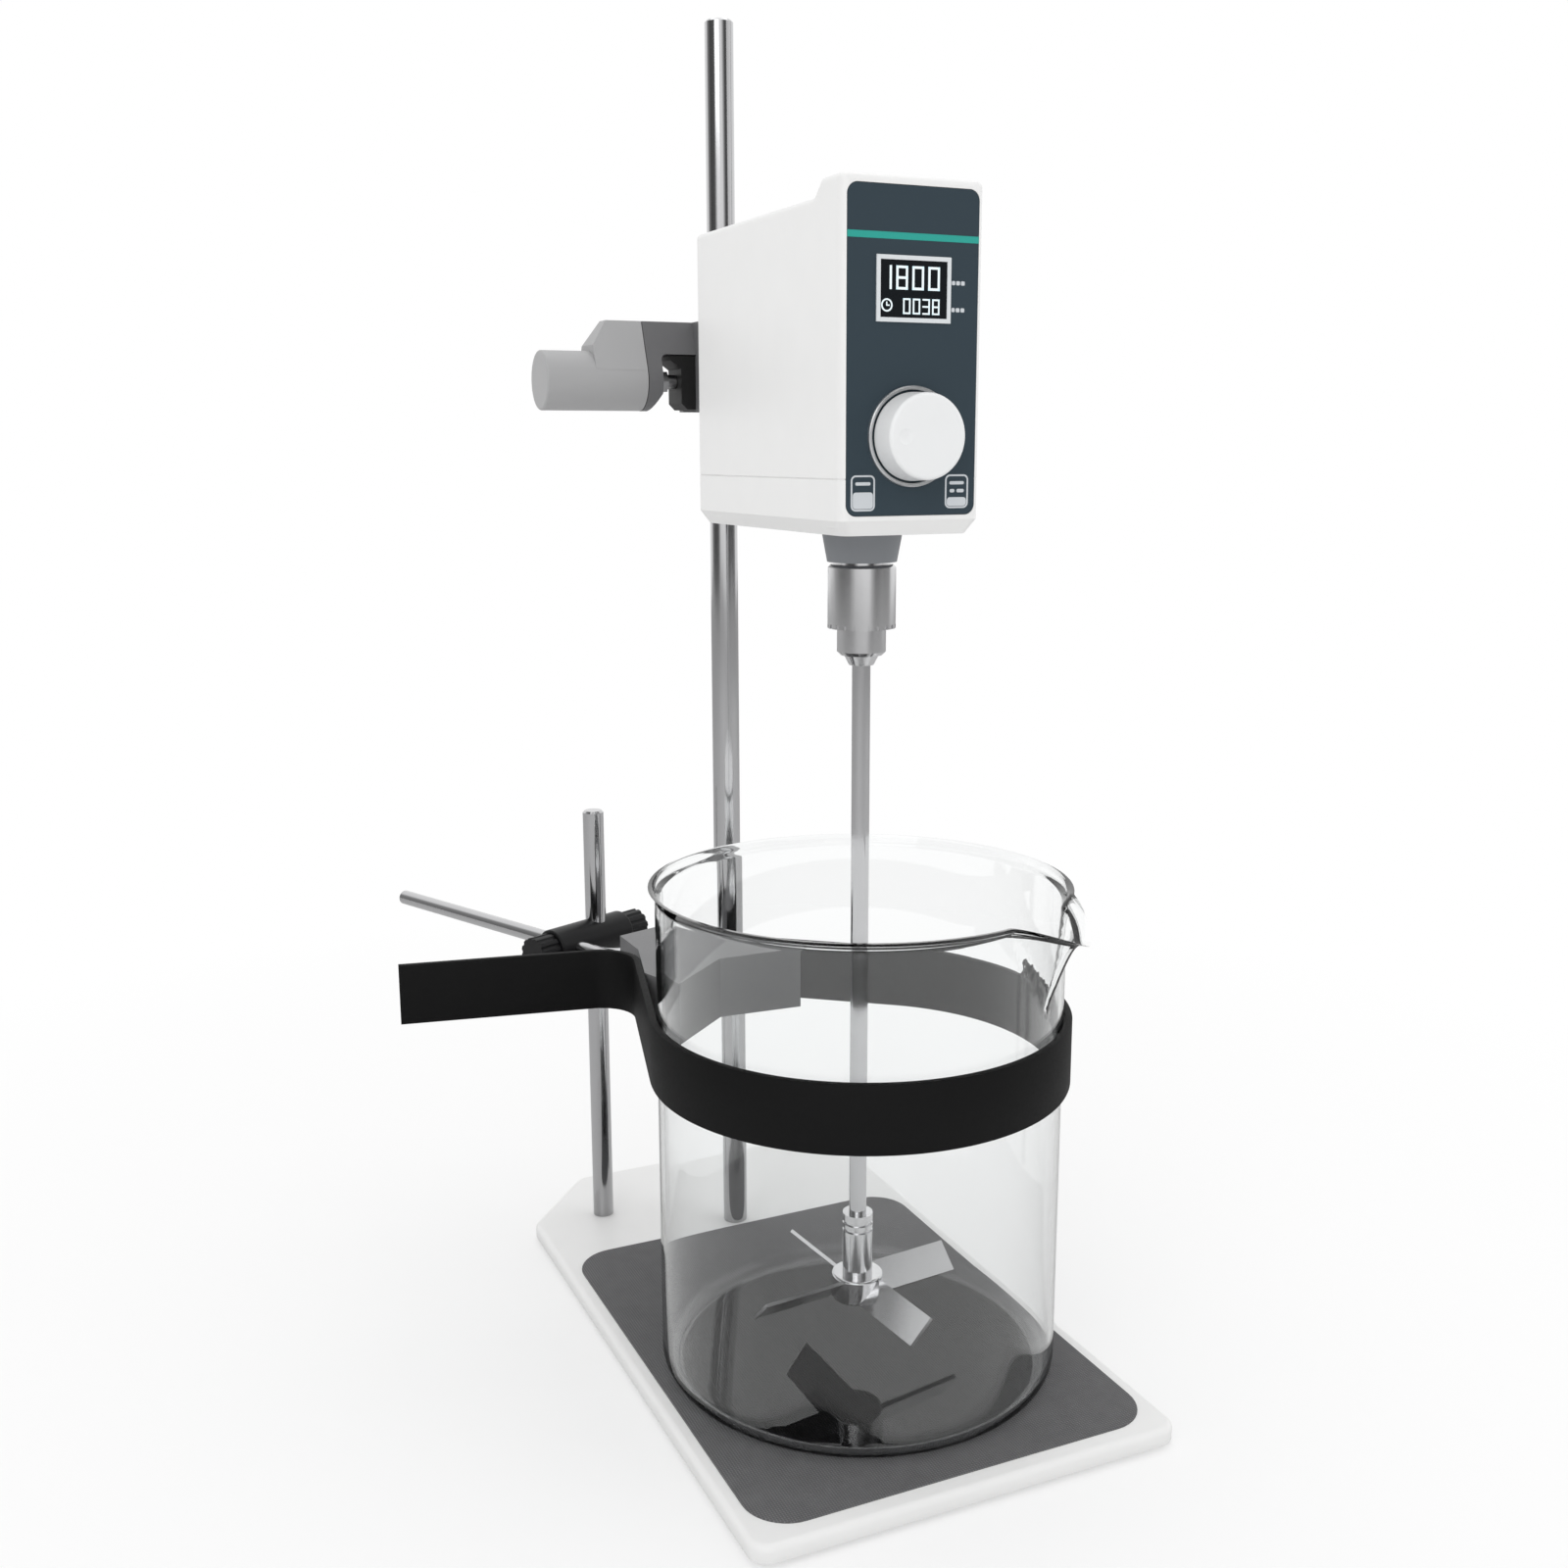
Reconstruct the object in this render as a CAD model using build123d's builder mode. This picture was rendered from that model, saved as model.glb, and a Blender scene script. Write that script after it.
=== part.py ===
from build123d import *
from math import acos, atan2, cos, hypot, radians, sin
import os

os.makedirs("parts", exist_ok=True)

# Overhead stirrer on a plate stand, with a beaker held by a strap clamp.
# Millimetres. X runs right, Y runs back, Z runs up.
# The origin is the point of the bench under the main rod's axis, and the front faces -Y.

# Clearances
seat_gap = 0.3          # between curved or loosely seated faces
running_gap = 0.05      # radial, shafts and rods in their bores
press_gap = 0.02        # radial, pieces that are fixed in their bores
overshoot = 1.0         # how far a cut runs past the face it opens

# Plate stand
base_rear = 84.0        # from the main rod back to the rear edge
base_thickness = 8.0
base_corner = 9.0
base_edge = 3.0         # radius of the top edge
base_break = 0.6        # bevel of the bottom edge
rear_cut_x = 40.0       # cut-off rear corners
rear_cut_y = 46.0
foot_height = 2.0
foot_radius = 9.0
foot_recess = 1.5
foot_inset = 24.0
mat_margin = 3.5        # mat beside the beaker's wall
mat_front_margin = 12.5     # mat ahead of the beaker's wall
mat_border = 6.5        # plate beside the mat
mat_front_border = 9.0  # plate ahead of the mat
mat_rod_gap = 10.0      # from the main rod's axis forward to the mat
mat_thickness = 1.8
mat_recess = 1.0
mat_corner = 20.0
mat_gap = 0.2
mat_edge = 0.5

# Rods
main_rod_radius = 7.0
main_rod_top = 632.0
support_rod_radius = 5.5
support_rod_rise = 70.0     # above the clamp rod
support_x = -63.0
support_y = 34.0
rod_chamfer = 1.0
rod_screw_radius = 4.0
rod_screw_head = 7.0
rod_screw_length = 16.0
rod_screw_sink = 0.4    # how far the head sits above the plate's underside

# Beaker
beaker_radius = 91.5
beaker_height = 229.0
beaker_wall = 2.2
beaker_floor = 3.0
beaker_foot = 9.0       # radius of the bottom edge
beaker_rim = 3.0        # how far the rim flares out
beaker_rim_height = 4.0
spout_angle = -57.0
spout_reach = 17.0
spout_half_width = 29.0
spout_depth = 44.0
spout_fall = 14.0       # how far the tip lies below the rim
spout_wall = 2.2
spout_tip = 6.0         # radius of the tip seen from above
spout_foot_half = 4.0
spout_foot_tip = 1.0

# Drive head
reach = 155.0           # main rod to spindle axis
head_front = 43.0       # spindle axis to the front face
head_rear = 111.0       # spindle axis to the rear face
head_width = 64.0
head_bottom = 395.0
cover_height = 22.4     # lower cover, up to the split
head_height = 131.5
brow_height = 6.5       # above the flat top
brow_depth = 18.0
brow_slope = 7.0
brow_round = 5.0
head_wall = 2.6
cover_wall = 3.6        # side walls of the lower cover
front_wall = 4.0
front_edge = 4.0
rear_edge = 6.0
top_edge = 2.5
bevel_height = 6.0
bevel_inset = 3.5
split_bevel = 0.4
floor_thickness = 3.5
screw_pad = 11.0
screw_pad_depth = 8.0
screw_pad_height = 11.0
head_screw_x = 24.0
head_screw_front = 10.0     # from the front face
head_screw_rear = 23.0      # from the rear face
head_screw_radius = 1.5
head_screw_head = 2.8
head_screw_head_height = 2.4
head_screw_length = 24.0

# Front panel
panel_width = 58.4
panel_sill = 8.0        # from the underside of the head up to the panel
panel_brow = 3.7        # from the panel up to the top of the brow
panel_corner = 4.5
panel_recess = 1.4
panel_thickness = 1.2
panel_gap = 0.2
stripe_drop = 18.9      # below the panel's top
stripe_height = 2.6
stripe_groove = 0.5
stripe_thickness = 0.6
display_width = 33.2
display_drop = 7.2      # below the stripe's middle
display_height = 25.2
display_border = 1.7
display_stand = 0.6
display_pocket = 0.6
display_thickness = 0.9
knob_rise = 31.0        # knob's axis above the panel's lower edge
ring_radius = 19.8
ring_width = 1.5
ring_thickness = 1.6
ring_edge = 0.4
knob_radius = 17.4
knob_taper = 0.5
knob_length = 13.0
knob_round = 1.6
knob_stand = 1.0        # clear of the panel
knob_bore_depth = 8.0
knob_shaft_depth = 7.0
dimple_radius = 3.2
dimple_depth = 0.7
dimple_offset = 10.0
encoder_shaft_radius = 3.0
encoder_bush_radius = 3.6
encoder_side = 13.0
encoder_depth = 6.0
encoder_shaft_tail = 3.0
board_width = 46.0
board_drop = 4.0        # below the knob's axis
board_ceiling = 18.5    # below the head's top
board_thickness = 1.6
board_post_radius = 2.5
board_pin_radius = 1.2
board_post_inset = 4.0

# Spindle, motor and bearings
tube_radius = 6.0
tube_bore = 4.4
tube_seat = 12.0        # length inside the chuck
tube_rise = 14.5        # above the motor's cap
bearing_radius = 14.0
bearing_height = 8.0
bearing_ring = 3.0
bearing_groove = 0.8
bearing_cup_wall = 3.0
post_radius = 3.5
post_offset = 22.0      # motor posts, from the spindle axis both ways
motor_plate_rise = 2.6  # above the cover's upper edge
motor_plate_thickness = 3.5
motor_plate_size = 53.0
motor_plate_corner = 4.0
motor_plate_hole = 8.0
stator_radius = 23.0
stator_bore = 16.0
stator_height = 50.0
stator_floor = 4.0
stator_cap_height = 12.0
stator_cap_hole = 8.0
rotor_gap = 0.5
rotor_height = 42.0
motor_screw_radius = 1.5
motor_screw_head = 2.8
motor_screw_head_height = 2.0
motor_screw_length = 10.0

# Boss and chuck
boss_top_radius = 17.4
boss_bottom_radius = 15.0
boss_height = 13.0
boss_bore = 9.6
sleeve_radius = 14.7
sleeve_drop = 1.1       # below the boss
sleeve_length = 27.3
sleeve_chamfer = 1.2
sleeve_teeth = 20
tooth_gap_width = 1.6
tooth_gap_height = 1.8
tooth_gap_depth = 0.9
shank_radius = 9.0
shank_rise = 3.1        # above the sleeve
nose_radius = 10.6
nose_drop = 11.8        # below the sleeve
nose_chamfer = 1.6
jaw_bore = 8.0
jaw_bore_rise = 8.4     # above the sleeve's lower edge
jaw_drop = 4.3          # below the nose
jaw_tip_radius = 5.4
jaw_cone_height = 5.0
jaw_count = 3
jaw_slit = 1.2
jaw_travel = 1.0

# Stirring shaft and impeller
shaft_radius = 4.0
shaft_floor = 4.0       # closed end of the hub's bore
shaft_rise = 71.0       # above the underside of the head
shaft_chamfer = 0.6
hub_rise = 26.2         # above the beaker's floor
hub_radius = 12.0
hub_height = 12.0
hub_edge = 1.0
collar_radius = 7.0
collar_height = 30.0
groove_depth = 0.8
groove_width = 1.6
groove_count = 2
groove_pitch = 3.5
blade_count = 4
blade_tip = 52.0
blade_root = 7.0
blade_chord = 15.0
blade_thickness = 1.6
blade_pitch = 45.0
blade_heading = 6.0
grub_radius = 2.5
grub_rise = 10.0        # above the hub's disc
grub_socket = 1.3
grub_socket_depth = 1.2

# Head clamp on the main rod
liner_radius = 9.0
liner_flange = 11.0
liner_flange_height = 1.7
liner_slit = 2.0
clamp_height = 67.0     # axis of the clamp knob, above the underside of the head
clamp_radius = 14.2
clamp_rise = 28.5       # flat top, above the knob's axis
clamp_top_half = 4.5
clamp_left = 44.0       # left face, from the main rod's axis
block_half_x = 18.0
block_half_y = 17.0
block_corner = 4.0
arch_left = 41.5        # opening round the screw, from the main rod's axis
arch_shoulder = 6.0     # below the knob's axis
window_left = 36.6
window_rise = 12.8      # above the knob's axis
window_corner = 3.0
clamp_jaw_half = 9.0
clamp_jaw_left = 25.5
clamp_jaw_right = 6.0
clamp_jaw_lug = 31.0
clamp_jaw_lug_rise = 6.0    # lower edge of the lug, above the knob's axis
clamp_jaw_lug_slope = 4.0
clamp_jaw_rise = 12.4       # above the knob's axis
clamp_jaw_fall = 13.5       # below the knob's axis
clamp_jaw_toe = 3.0
clamp_jaw_side = 0.1    # sliding gap at the jaw's flanks and round the liner
screw_radius = 3.5
nut_flats = 9.6
nut_thickness = 6.0
screw_pin_radius = 2.4
screw_pin_depth = 4.0
screw_pin_end_gap = 0.5
knob_gap = 0.4
lever_left = 95.0
lever_radius = 14.1
lever_edge = 1.0
wing_left = 70.5
wing_slope = 8.0
wing_slope_rise = 16.7  # above the knob's axis
mounting_radius = 8.0
mounting_rise = 6.0     # above the knob's axis
mounting_insert = 5.5
flange_width = 44.0
flange_height = 40.0
flange_corner = 4.0
flange_thickness = 5.0
flange_screw_x = 17.0
flange_screw_z = 14.0
flange_screw_radius = 2.0
flange_screw_head = 3.6
flange_screw_head_height = 2.4
flange_screw_length = 10.0
flange_pad = 12.0       # inner pads the flange screws run into
flange_pad_depth = 6.0

# Power switch and inlet on the rear face
socket_height = 39.0    # above the underside of the head
switch_x = 16.0
switch_width = 15.0
switch_height = 21.0
switch_bezel = 1.4
switch_wall = 1.2
switch_depth = 10.0
switch_back = 2.0
rocker_half = 7.3
rocker_half_width = 5.0
rocker_pivot_depth = 2.0
rocker_waist = 3.6
rocker_crest = 5.2
rocker_tail = 3.0
rocker_tail_half = 4.0
rocker_throw = 8.0
rocker_pin_radius = 1.0
rocker_pin_length = 0.8
switch_mouth_half = 8.2
switch_mouth_width = 5.4
jack_x = -16.0
jack_radius = 5.5
jack_nut_radius = 7.5
jack_nut_height = 2.4
jack_hole = 3.1
jack_depth = 12.0
jack_floor = 3.0
jack_pin_radius = 1.0

# Vessel clamp
strap_bottom = 151.5
strap_height = 30.5
strap_thickness = 3.6
strap_leave = 56.6      # where the strap leaves the beaker, from the clamp's own axis
strap_bend_gap = 19.6   # from the bracket's waist back to the bend
strap_end_gap = 5.6     # from the bracket's waist back to the anchored end
strap_bend = 20.0
strap_bend_turn = 98.7
strap_tail = 94.0
contact_angle = 22.0
vee_tip_half = 41.0
vee_waist_half = 20.0
vee_rear_gap = 37.2     # from the bracket's rear to the support rod's axis
vee_rear_half = 12.0
clamp_rod_rise = 19.5   # above the strap's lower edge
clamp_rod_radius = 4.0
clamp_rod_side = 24.0   # the clamp rod's heading, left of straight back
clamp_rod_offset = 20.0
clamp_rod_back = 145.0
clamp_rod_front = 25.0
clamp_rod_bend = 12.0
clamp_rod_turn = 51.0
clamp_rod_end = 20.0
boss_radius = 10.5
boss_right = 18.0
boss_left = 32.0
boss_edge = 1.0
thumb_radius = 9.0
thumb_length = 12.0
thumb_flutes = 12
thumb_flute_radius = 1.5
thumb_screw_radius = 3.0

UP = (Align.CENTER, Align.CENTER, Align.MIN)
plate_top = foot_height + base_thickness
mat_bottom = plate_top - mat_recess
mat_top = mat_bottom + mat_thickness
mat_front = reach + beaker_radius + mat_front_margin
mat_width = 2 * (beaker_radius + mat_margin)
mat_depth = mat_front - mat_rod_gap
mat_y = -mat_rod_gap - mat_depth / 2
base_front = mat_front + mat_front_border
half_base = mat_width / 2 + mat_border
half_head = head_width / 2
spindle_y = -reach
front_y = spindle_y - head_front
rear_y = spindle_y + head_rear
clamp_rod_z = strap_bottom + clamp_rod_rise
support_rod_top = clamp_rod_z + support_rod_rise
support_spot = (support_x, support_y, plate_top)
rod_spots = ((0, 0), (support_x, support_y))
spindle_axis = Axis((0, spindle_y, 0), (0, 0, 1))

# Heights on the drive head and its clamp
head_split = head_bottom + cover_height
head_top = head_bottom + head_height
brow_top = head_top + brow_height
panel_bottom = head_bottom + panel_sill
panel_top = brow_top - panel_brow
stripe_z = panel_top - stripe_drop
display_bottom = stripe_z - display_drop - display_height
knob_z = panel_bottom + knob_rise
board_bottom = knob_z - board_drop
board_top = head_top - board_ceiling
socket_z = head_bottom + socket_height
clamp_z = head_bottom + clamp_height
mounting_z = clamp_z + mounting_rise
window_top = clamp_z + window_rise

# Heights on the spindle and the impeller
motor_plate_z = head_split + motor_plate_rise
stator_bottom = motor_plate_z + motor_plate_thickness
stator_top = stator_bottom + stator_height
cap_top = stator_top + stator_cap_height
sleeve_top = head_bottom - boss_height - sleeve_drop
sleeve_bottom = sleeve_top - sleeve_length
shank_top = sleeve_top + shank_rise
tube_bottom = shank_top - tube_seat
tube_top = cap_top + tube_rise
nose_bottom = sleeve_bottom - nose_drop
jaw_bore_top = sleeve_bottom + jaw_bore_rise
jaw_bottom = nose_bottom - jaw_drop
hub_bottom = mat_top + beaker_floor + hub_rise
hub_top = hub_bottom + hub_height
collar_top = hub_top + collar_height
shaft_bottom = hub_bottom + shaft_floor
shaft_top = head_bottom + shaft_rise
grub_z = hub_top + grub_rise


# Plate stand

with BuildPart() as base_plate:
    with BuildSketch(Plane.XY.offset(foot_height)) as outline:
        Polygon(
            (-half_base, -base_front),
            (half_base, -base_front),
            (half_base, base_rear - rear_cut_y),
            (half_base - rear_cut_x, base_rear),
            (-half_base + rear_cut_x, base_rear),
            (-half_base, base_rear - rear_cut_y),
            align=None,
        )
        fillet(outline.vertices(), base_corner)
    extrude(amount=base_thickness)
    fillet(base_plate.faces().sort_by(Axis.Z)[-1].edges(), base_edge)
    chamfer(base_plate.faces().sort_by(Axis.Z)[0].edges(), base_break)
    with BuildSketch(Plane.XY.offset(plate_top)):
        with Locations((0, mat_y)):
            RectangleRounded(mat_width + 2 * mat_gap, mat_depth + 2 * mat_gap, mat_corner)
    extrude(amount=-mat_recess, mode=Mode.SUBTRACT)
    for x, y in rod_spots:
        with Locations(Plane((x, y, foot_height), z_dir=(0, 0, -1))):
            CounterSinkHole(
                rod_screw_radius + running_gap,
                rod_screw_head + running_gap,
                base_thickness,
                counter_sink_angle=90,
            )
    foot_x = half_base - foot_inset
    foot_spots = (
        (-foot_x, -base_front + foot_inset),
        (foot_x, -base_front + foot_inset),
        (-foot_x, base_rear - rear_cut_y - foot_inset),
        (foot_x, base_rear - rear_cut_y - foot_inset),
    )
    with BuildSketch(Plane.XY.offset(foot_height)):
        with Locations(*foot_spots):
            Circle(foot_radius + running_gap)
    extrude(amount=foot_recess, mode=Mode.SUBTRACT)
base_plate.part.label = "base_plate"
export_step(base_plate.part, "parts/base_plate.step")

with BuildPart() as rubber_feet:
    with BuildSketch():
        with Locations(*foot_spots):
            Circle(foot_radius)
    extrude(amount=foot_height + foot_recess)
    chamfer(rubber_feet.faces().group_by(Axis.Z)[0].edges(), base_break)
rubber_feet.part.label = "rubber_feet"
export_step(rubber_feet.part, "parts/rubber_feet.step")

with BuildPart() as base_mat:
    with BuildSketch(Plane.XY.offset(mat_bottom)):
        with Locations((0, mat_y)):
            RectangleRounded(mat_width, mat_depth, mat_corner - mat_gap)
    extrude(amount=mat_thickness)
    fillet(base_mat.faces().sort_by(Axis.Z)[-1].edges(), mat_edge)
base_mat.part.label = "base_mat"
export_step(base_mat.part, "parts/base_mat.step")

with BuildPart() as main_rod:
    with Locations((0, 0, plate_top)):
        Cylinder(main_rod_radius, main_rod_top - plate_top, align=UP)
    chamfer(main_rod.edges().sort_by(Axis.Z)[-1], rod_chamfer)
    with Locations((0, 0, plate_top)):
        Cylinder(
            rod_screw_radius + press_gap,
            rod_screw_length + seat_gap,
            align=UP,
            mode=Mode.SUBTRACT,
        )
main_rod.part.label = "main_rod"
export_step(main_rod.part, "parts/main_rod.step")

with BuildPart() as support_rod:
    with Locations(support_spot):
        Cylinder(support_rod_radius, support_rod_top - plate_top, align=UP)
    chamfer(support_rod.edges().sort_by(Axis.Z)[-1], rod_chamfer)
    with Locations(support_spot):
        Cylinder(
            rod_screw_radius + press_gap,
            rod_screw_length + seat_gap,
            align=UP,
            mode=Mode.SUBTRACT,
        )
support_rod.part.label = "support_rod"
export_step(support_rod.part, "parts/support_rod.step")

with BuildPart() as rod_screws:
    for x, y in rod_spots:
        with Locations((x, y, foot_height + rod_screw_sink)):
            Cone(
                rod_screw_head - rod_screw_sink,
                rod_screw_radius,
                rod_screw_head - rod_screw_radius - rod_screw_sink,
                align=UP,
            )
            Cylinder(
                rod_screw_radius,
                base_thickness - rod_screw_sink + rod_screw_length,
                align=UP,
            )
rod_screws.part.label = "rod_screws"
export_step(rod_screws.part, "parts/rod_screws.step")


# Beaker, a turned wall with a pressed pouring lip

beaker_top = mat_top + beaker_height
beaker_inner = beaker_radius - beaker_wall
lip_x = cos(radians(spout_angle))
lip_y = sin(radians(spout_angle))
lip_top = Plane((0, spindle_y, beaker_top), x_dir=(lip_x, lip_y, 0), z_dir=(0, 0, 1))
lip_side = Plane((0, spindle_y, beaker_top), x_dir=(lip_x, lip_y, 0), z_dir=(lip_y, -lip_x, 0))
lip_root = beaker_inner - spout_wall

with BuildPart() as beaker:
    with BuildSketch(Plane.XZ.offset(-spindle_y)) as wall:
        Polygon(
            (0, mat_top),
            (beaker_radius, mat_top),
            (beaker_radius, beaker_top - beaker_rim_height),
            (beaker_radius + beaker_rim, beaker_top),
            (0, beaker_top),
            align=None,
        )
        fillet(wall.vertices().group_by(Axis.Y)[0].sort_by(Axis.X)[-1], beaker_foot)
    revolve(axis=spindle_axis)
    with BuildSketch(lip_top) as lip:
        Polygon(
            (lip_root, -spout_half_width),
            (beaker_radius + spout_reach, 0),
            (lip_root, spout_half_width),
            align=None,
        )
        fillet(lip.vertices().sort_by(Axis.X)[-1], spout_tip)
    with BuildSketch(lip_top.offset(-spout_depth)) as lip_foot:
        Polygon(
            (lip_root, -spout_foot_half),
            (beaker_radius - spout_wall / 2, 0),
            (lip_root, spout_foot_half),
            align=None,
        )
        fillet(lip_foot.vertices().sort_by(Axis.X)[-1], spout_foot_tip)
    loft()
    with BuildSketch(Plane.XZ.offset(-spindle_y)) as room:
        Polygon(
            (0, mat_top + beaker_floor),
            (beaker_inner, mat_top + beaker_floor),
            (beaker_inner, beaker_top - beaker_rim_height),
            (beaker_inner + beaker_rim, beaker_top),
            (0, beaker_top),
            align=None,
        )
        fillet(
            room.vertices().group_by(Axis.Y)[0].sort_by(Axis.X)[-1],
            beaker_foot - beaker_wall,
        )
    revolve(axis=spindle_axis, mode=Mode.SUBTRACT)
    with BuildSketch(lip_top) as channel:
        Polygon(
            (lip_root - spout_wall, -spout_half_width + spout_wall / 2),
            (beaker_radius + spout_reach - 1.5 * spout_wall, 0),
            (lip_root - spout_wall, spout_half_width - spout_wall / 2),
            align=None,
        )
        fillet(channel.vertices().sort_by(Axis.X)[-1], spout_tip - spout_wall)
    with BuildSketch(lip_top.offset(-spout_depth)) as channel_foot:
        Polygon(
            (lip_root - spout_wall, -spout_foot_half),
            (beaker_inner - spout_wall, 0),
            (lip_root - spout_wall, spout_foot_half),
            align=None,
        )
        fillet(channel_foot.vertices().sort_by(Axis.X)[-1], spout_foot_tip)
    loft(mode=Mode.SUBTRACT)
    with BuildSketch(lip_side):
        Polygon(
            (beaker_inner, overshoot),
            (beaker_inner, 0),
            (beaker_radius + spout_reach, -spout_fall),
            (beaker_radius + 2 * spout_reach, -spout_fall),
            (beaker_radius + 2 * spout_reach, overshoot),
            align=None,
        )
    extrude(amount=spout_half_width, both=True, mode=Mode.SUBTRACT)
beaker.part.label = "beaker"
export_step(beaker.part, "parts/beaker.step")


# Head clamp on the main rod

block_top = clamp_z + clamp_rise
block_bottom = clamp_z - clamp_radius
liner_top = block_top + seat_gap + liner_flange_height
with BuildPart() as rod_liner:
    with Locations((0, 0, block_bottom)):
        Cylinder(liner_radius, liner_top - block_bottom, align=UP)
    with Locations((0, 0, block_top + seat_gap)):
        Cylinder(liner_flange, liner_flange_height, align=UP)
    with Locations((0, 0, block_bottom)):
        Cylinder(
            main_rod_radius + running_gap,
            liner_top - block_bottom,
            align=UP,
            mode=Mode.SUBTRACT,
        )
        Box(
            liner_flange,
            liner_slit,
            liner_top - block_bottom,
            align=(Align.MIN, Align.CENTER, Align.MIN),
            mode=Mode.SUBTRACT,
        )
rod_liner.part.label = "rod_liner"
export_step(rod_liner.part, "parts/rod_liner.step")

# The lobe runs from the knob's circle up to a flat top
lobe_reach = hypot(clamp_top_half, clamp_rise)
lobe_angle = atan2(clamp_rise, clamp_top_half) - acos(clamp_radius / lobe_reach)
lobe_x = clamp_radius * cos(lobe_angle)
lobe_z = clamp_z + clamp_radius * sin(lobe_angle)
lobe_points = (
    (-lobe_x, lobe_z),
    (-clamp_top_half, block_top),
    (clamp_top_half, block_top),
    (lobe_x, lobe_z),
)

with BuildPart() as clamp_body:
    with BuildSketch(Plane.YZ.offset(-clamp_left)):
        with Locations((0, clamp_z)):
            Circle(clamp_radius)
        Polygon(*lobe_points, align=None)
    extrude(amount=clamp_left - liner_radius)
    with BuildSketch(Plane.XY.offset(block_bottom)):
        RectangleRounded(2 * block_half_x, 2 * block_half_y, block_corner)
    extrude(amount=block_top - block_bottom)
    with Locations((0, 0, block_bottom)):
        Cylinder(
            liner_radius + running_gap,
            block_top - block_bottom,
            align=UP,
            mode=Mode.SUBTRACT,
        )
    # Opening round the screw and its nut
    with BuildSketch(Plane.XZ) as opening:
        Polygon(
            (-arch_left, block_bottom - overshoot),
            (-window_left, clamp_z - arch_shoulder),
            (-window_left, window_top),
            (-block_half_x, window_top),
            (-block_half_x, block_bottom - overshoot),
            align=None,
        )
        fillet(opening.vertices().group_by(Axis.Y)[-1].sort_by(Axis.X)[0], window_corner)
    extrude(amount=block_half_y + overshoot, both=True, mode=Mode.SUBTRACT)
    # Channel of the sliding jaw
    with BuildSketch(Plane.XY.offset(block_bottom)):
        Polygon(
            (-block_half_x - overshoot, -clamp_jaw_half - clamp_jaw_side),
            (-block_half_x - overshoot, clamp_jaw_half + clamp_jaw_side),
            (-clamp_jaw_right + seat_gap, clamp_jaw_half + clamp_jaw_side),
            (-clamp_jaw_right + seat_gap, -clamp_jaw_half - clamp_jaw_side),
            align=None,
        )
    extrude(amount=window_top - block_bottom, mode=Mode.SUBTRACT)
    # Threaded hole of the clamp screw and seat of the head's rod
    with BuildSketch(Plane.YZ.offset(-clamp_left)):
        with Locations((0, clamp_z)):
            Circle(screw_radius + running_gap)
    extrude(amount=clamp_left - window_left, mode=Mode.SUBTRACT)
    with BuildSketch(Plane.XZ.offset(block_half_y)):
        with Locations((0, mounting_z)):
            Circle(mounting_radius + press_gap)
    extrude(amount=-mounting_insert, mode=Mode.SUBTRACT)
clamp_body.part.label = "clamp_body"
export_step(clamp_body.part, "parts/clamp_body.step")

pin_end = clamp_jaw_left - screw_pin_depth
clamp_jaw_top = clamp_z + clamp_jaw_rise
clamp_jaw_bottom = clamp_z - clamp_jaw_fall
clamp_jaw_lug_z = clamp_z + clamp_jaw_lug_rise
with BuildPart() as clamp_jaw:
    with BuildSketch(Plane.XZ):
        Polygon(
            (-clamp_jaw_left + clamp_jaw_toe, clamp_jaw_bottom),
            (-clamp_jaw_left, clamp_jaw_bottom + clamp_jaw_toe),
            (-clamp_jaw_left, clamp_jaw_lug_z),
            (-clamp_jaw_lug, clamp_jaw_lug_z + clamp_jaw_lug_slope),
            (-clamp_jaw_lug, clamp_jaw_top),
            (-clamp_jaw_right, clamp_jaw_top),
            (-clamp_jaw_right, clamp_jaw_bottom),
            align=None,
        )
    extrude(amount=clamp_jaw_half, both=True)
    with Locations((0, 0, block_bottom)):
        Cylinder(
            liner_radius + clamp_jaw_side,
            block_top - block_bottom,
            align=UP,
            mode=Mode.SUBTRACT,
        )
    with BuildSketch(Plane.YZ.offset(-clamp_jaw_left)):
        with Locations((0, clamp_z)):
            Circle(screw_pin_radius + running_gap)
    extrude(amount=screw_pin_depth + screw_pin_end_gap, mode=Mode.SUBTRACT)
clamp_jaw.part.label = "clamp_jaw"
export_step(clamp_jaw.part, "parts/clamp_jaw.step")

lever_right = clamp_left + knob_gap
screw_in_knob = lever_right + (lever_left - lever_right) / 3
screw_end = clamp_jaw_left + seat_gap
with BuildPart() as clamp_screw:
    with BuildSketch(Plane.YZ.offset(-screw_in_knob)):
        with Locations((0, clamp_z)):
            Circle(screw_radius)
    extrude(amount=screw_in_knob - screw_end)
    with BuildSketch(Plane.YZ.offset(-screw_end)):
        with Locations((0, clamp_z)):
            Circle(screw_pin_radius)
    extrude(amount=screw_end - pin_end)
clamp_screw.part.label = "clamp_screw"
export_step(clamp_screw.part, "parts/clamp_screw.step")

with BuildPart() as clamp_nut:
    with BuildSketch(Plane.YZ.offset(-window_left)):
        with Locations((0, clamp_z)):
            RegularPolygon(nut_flats / 2, 6, major_radius=False)
            Circle(screw_radius + running_gap, mode=Mode.SUBTRACT)
    extrude(amount=nut_thickness)
clamp_nut.part.label = "clamp_nut"
export_step(clamp_nut.part, "parts/clamp_nut.step")

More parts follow.
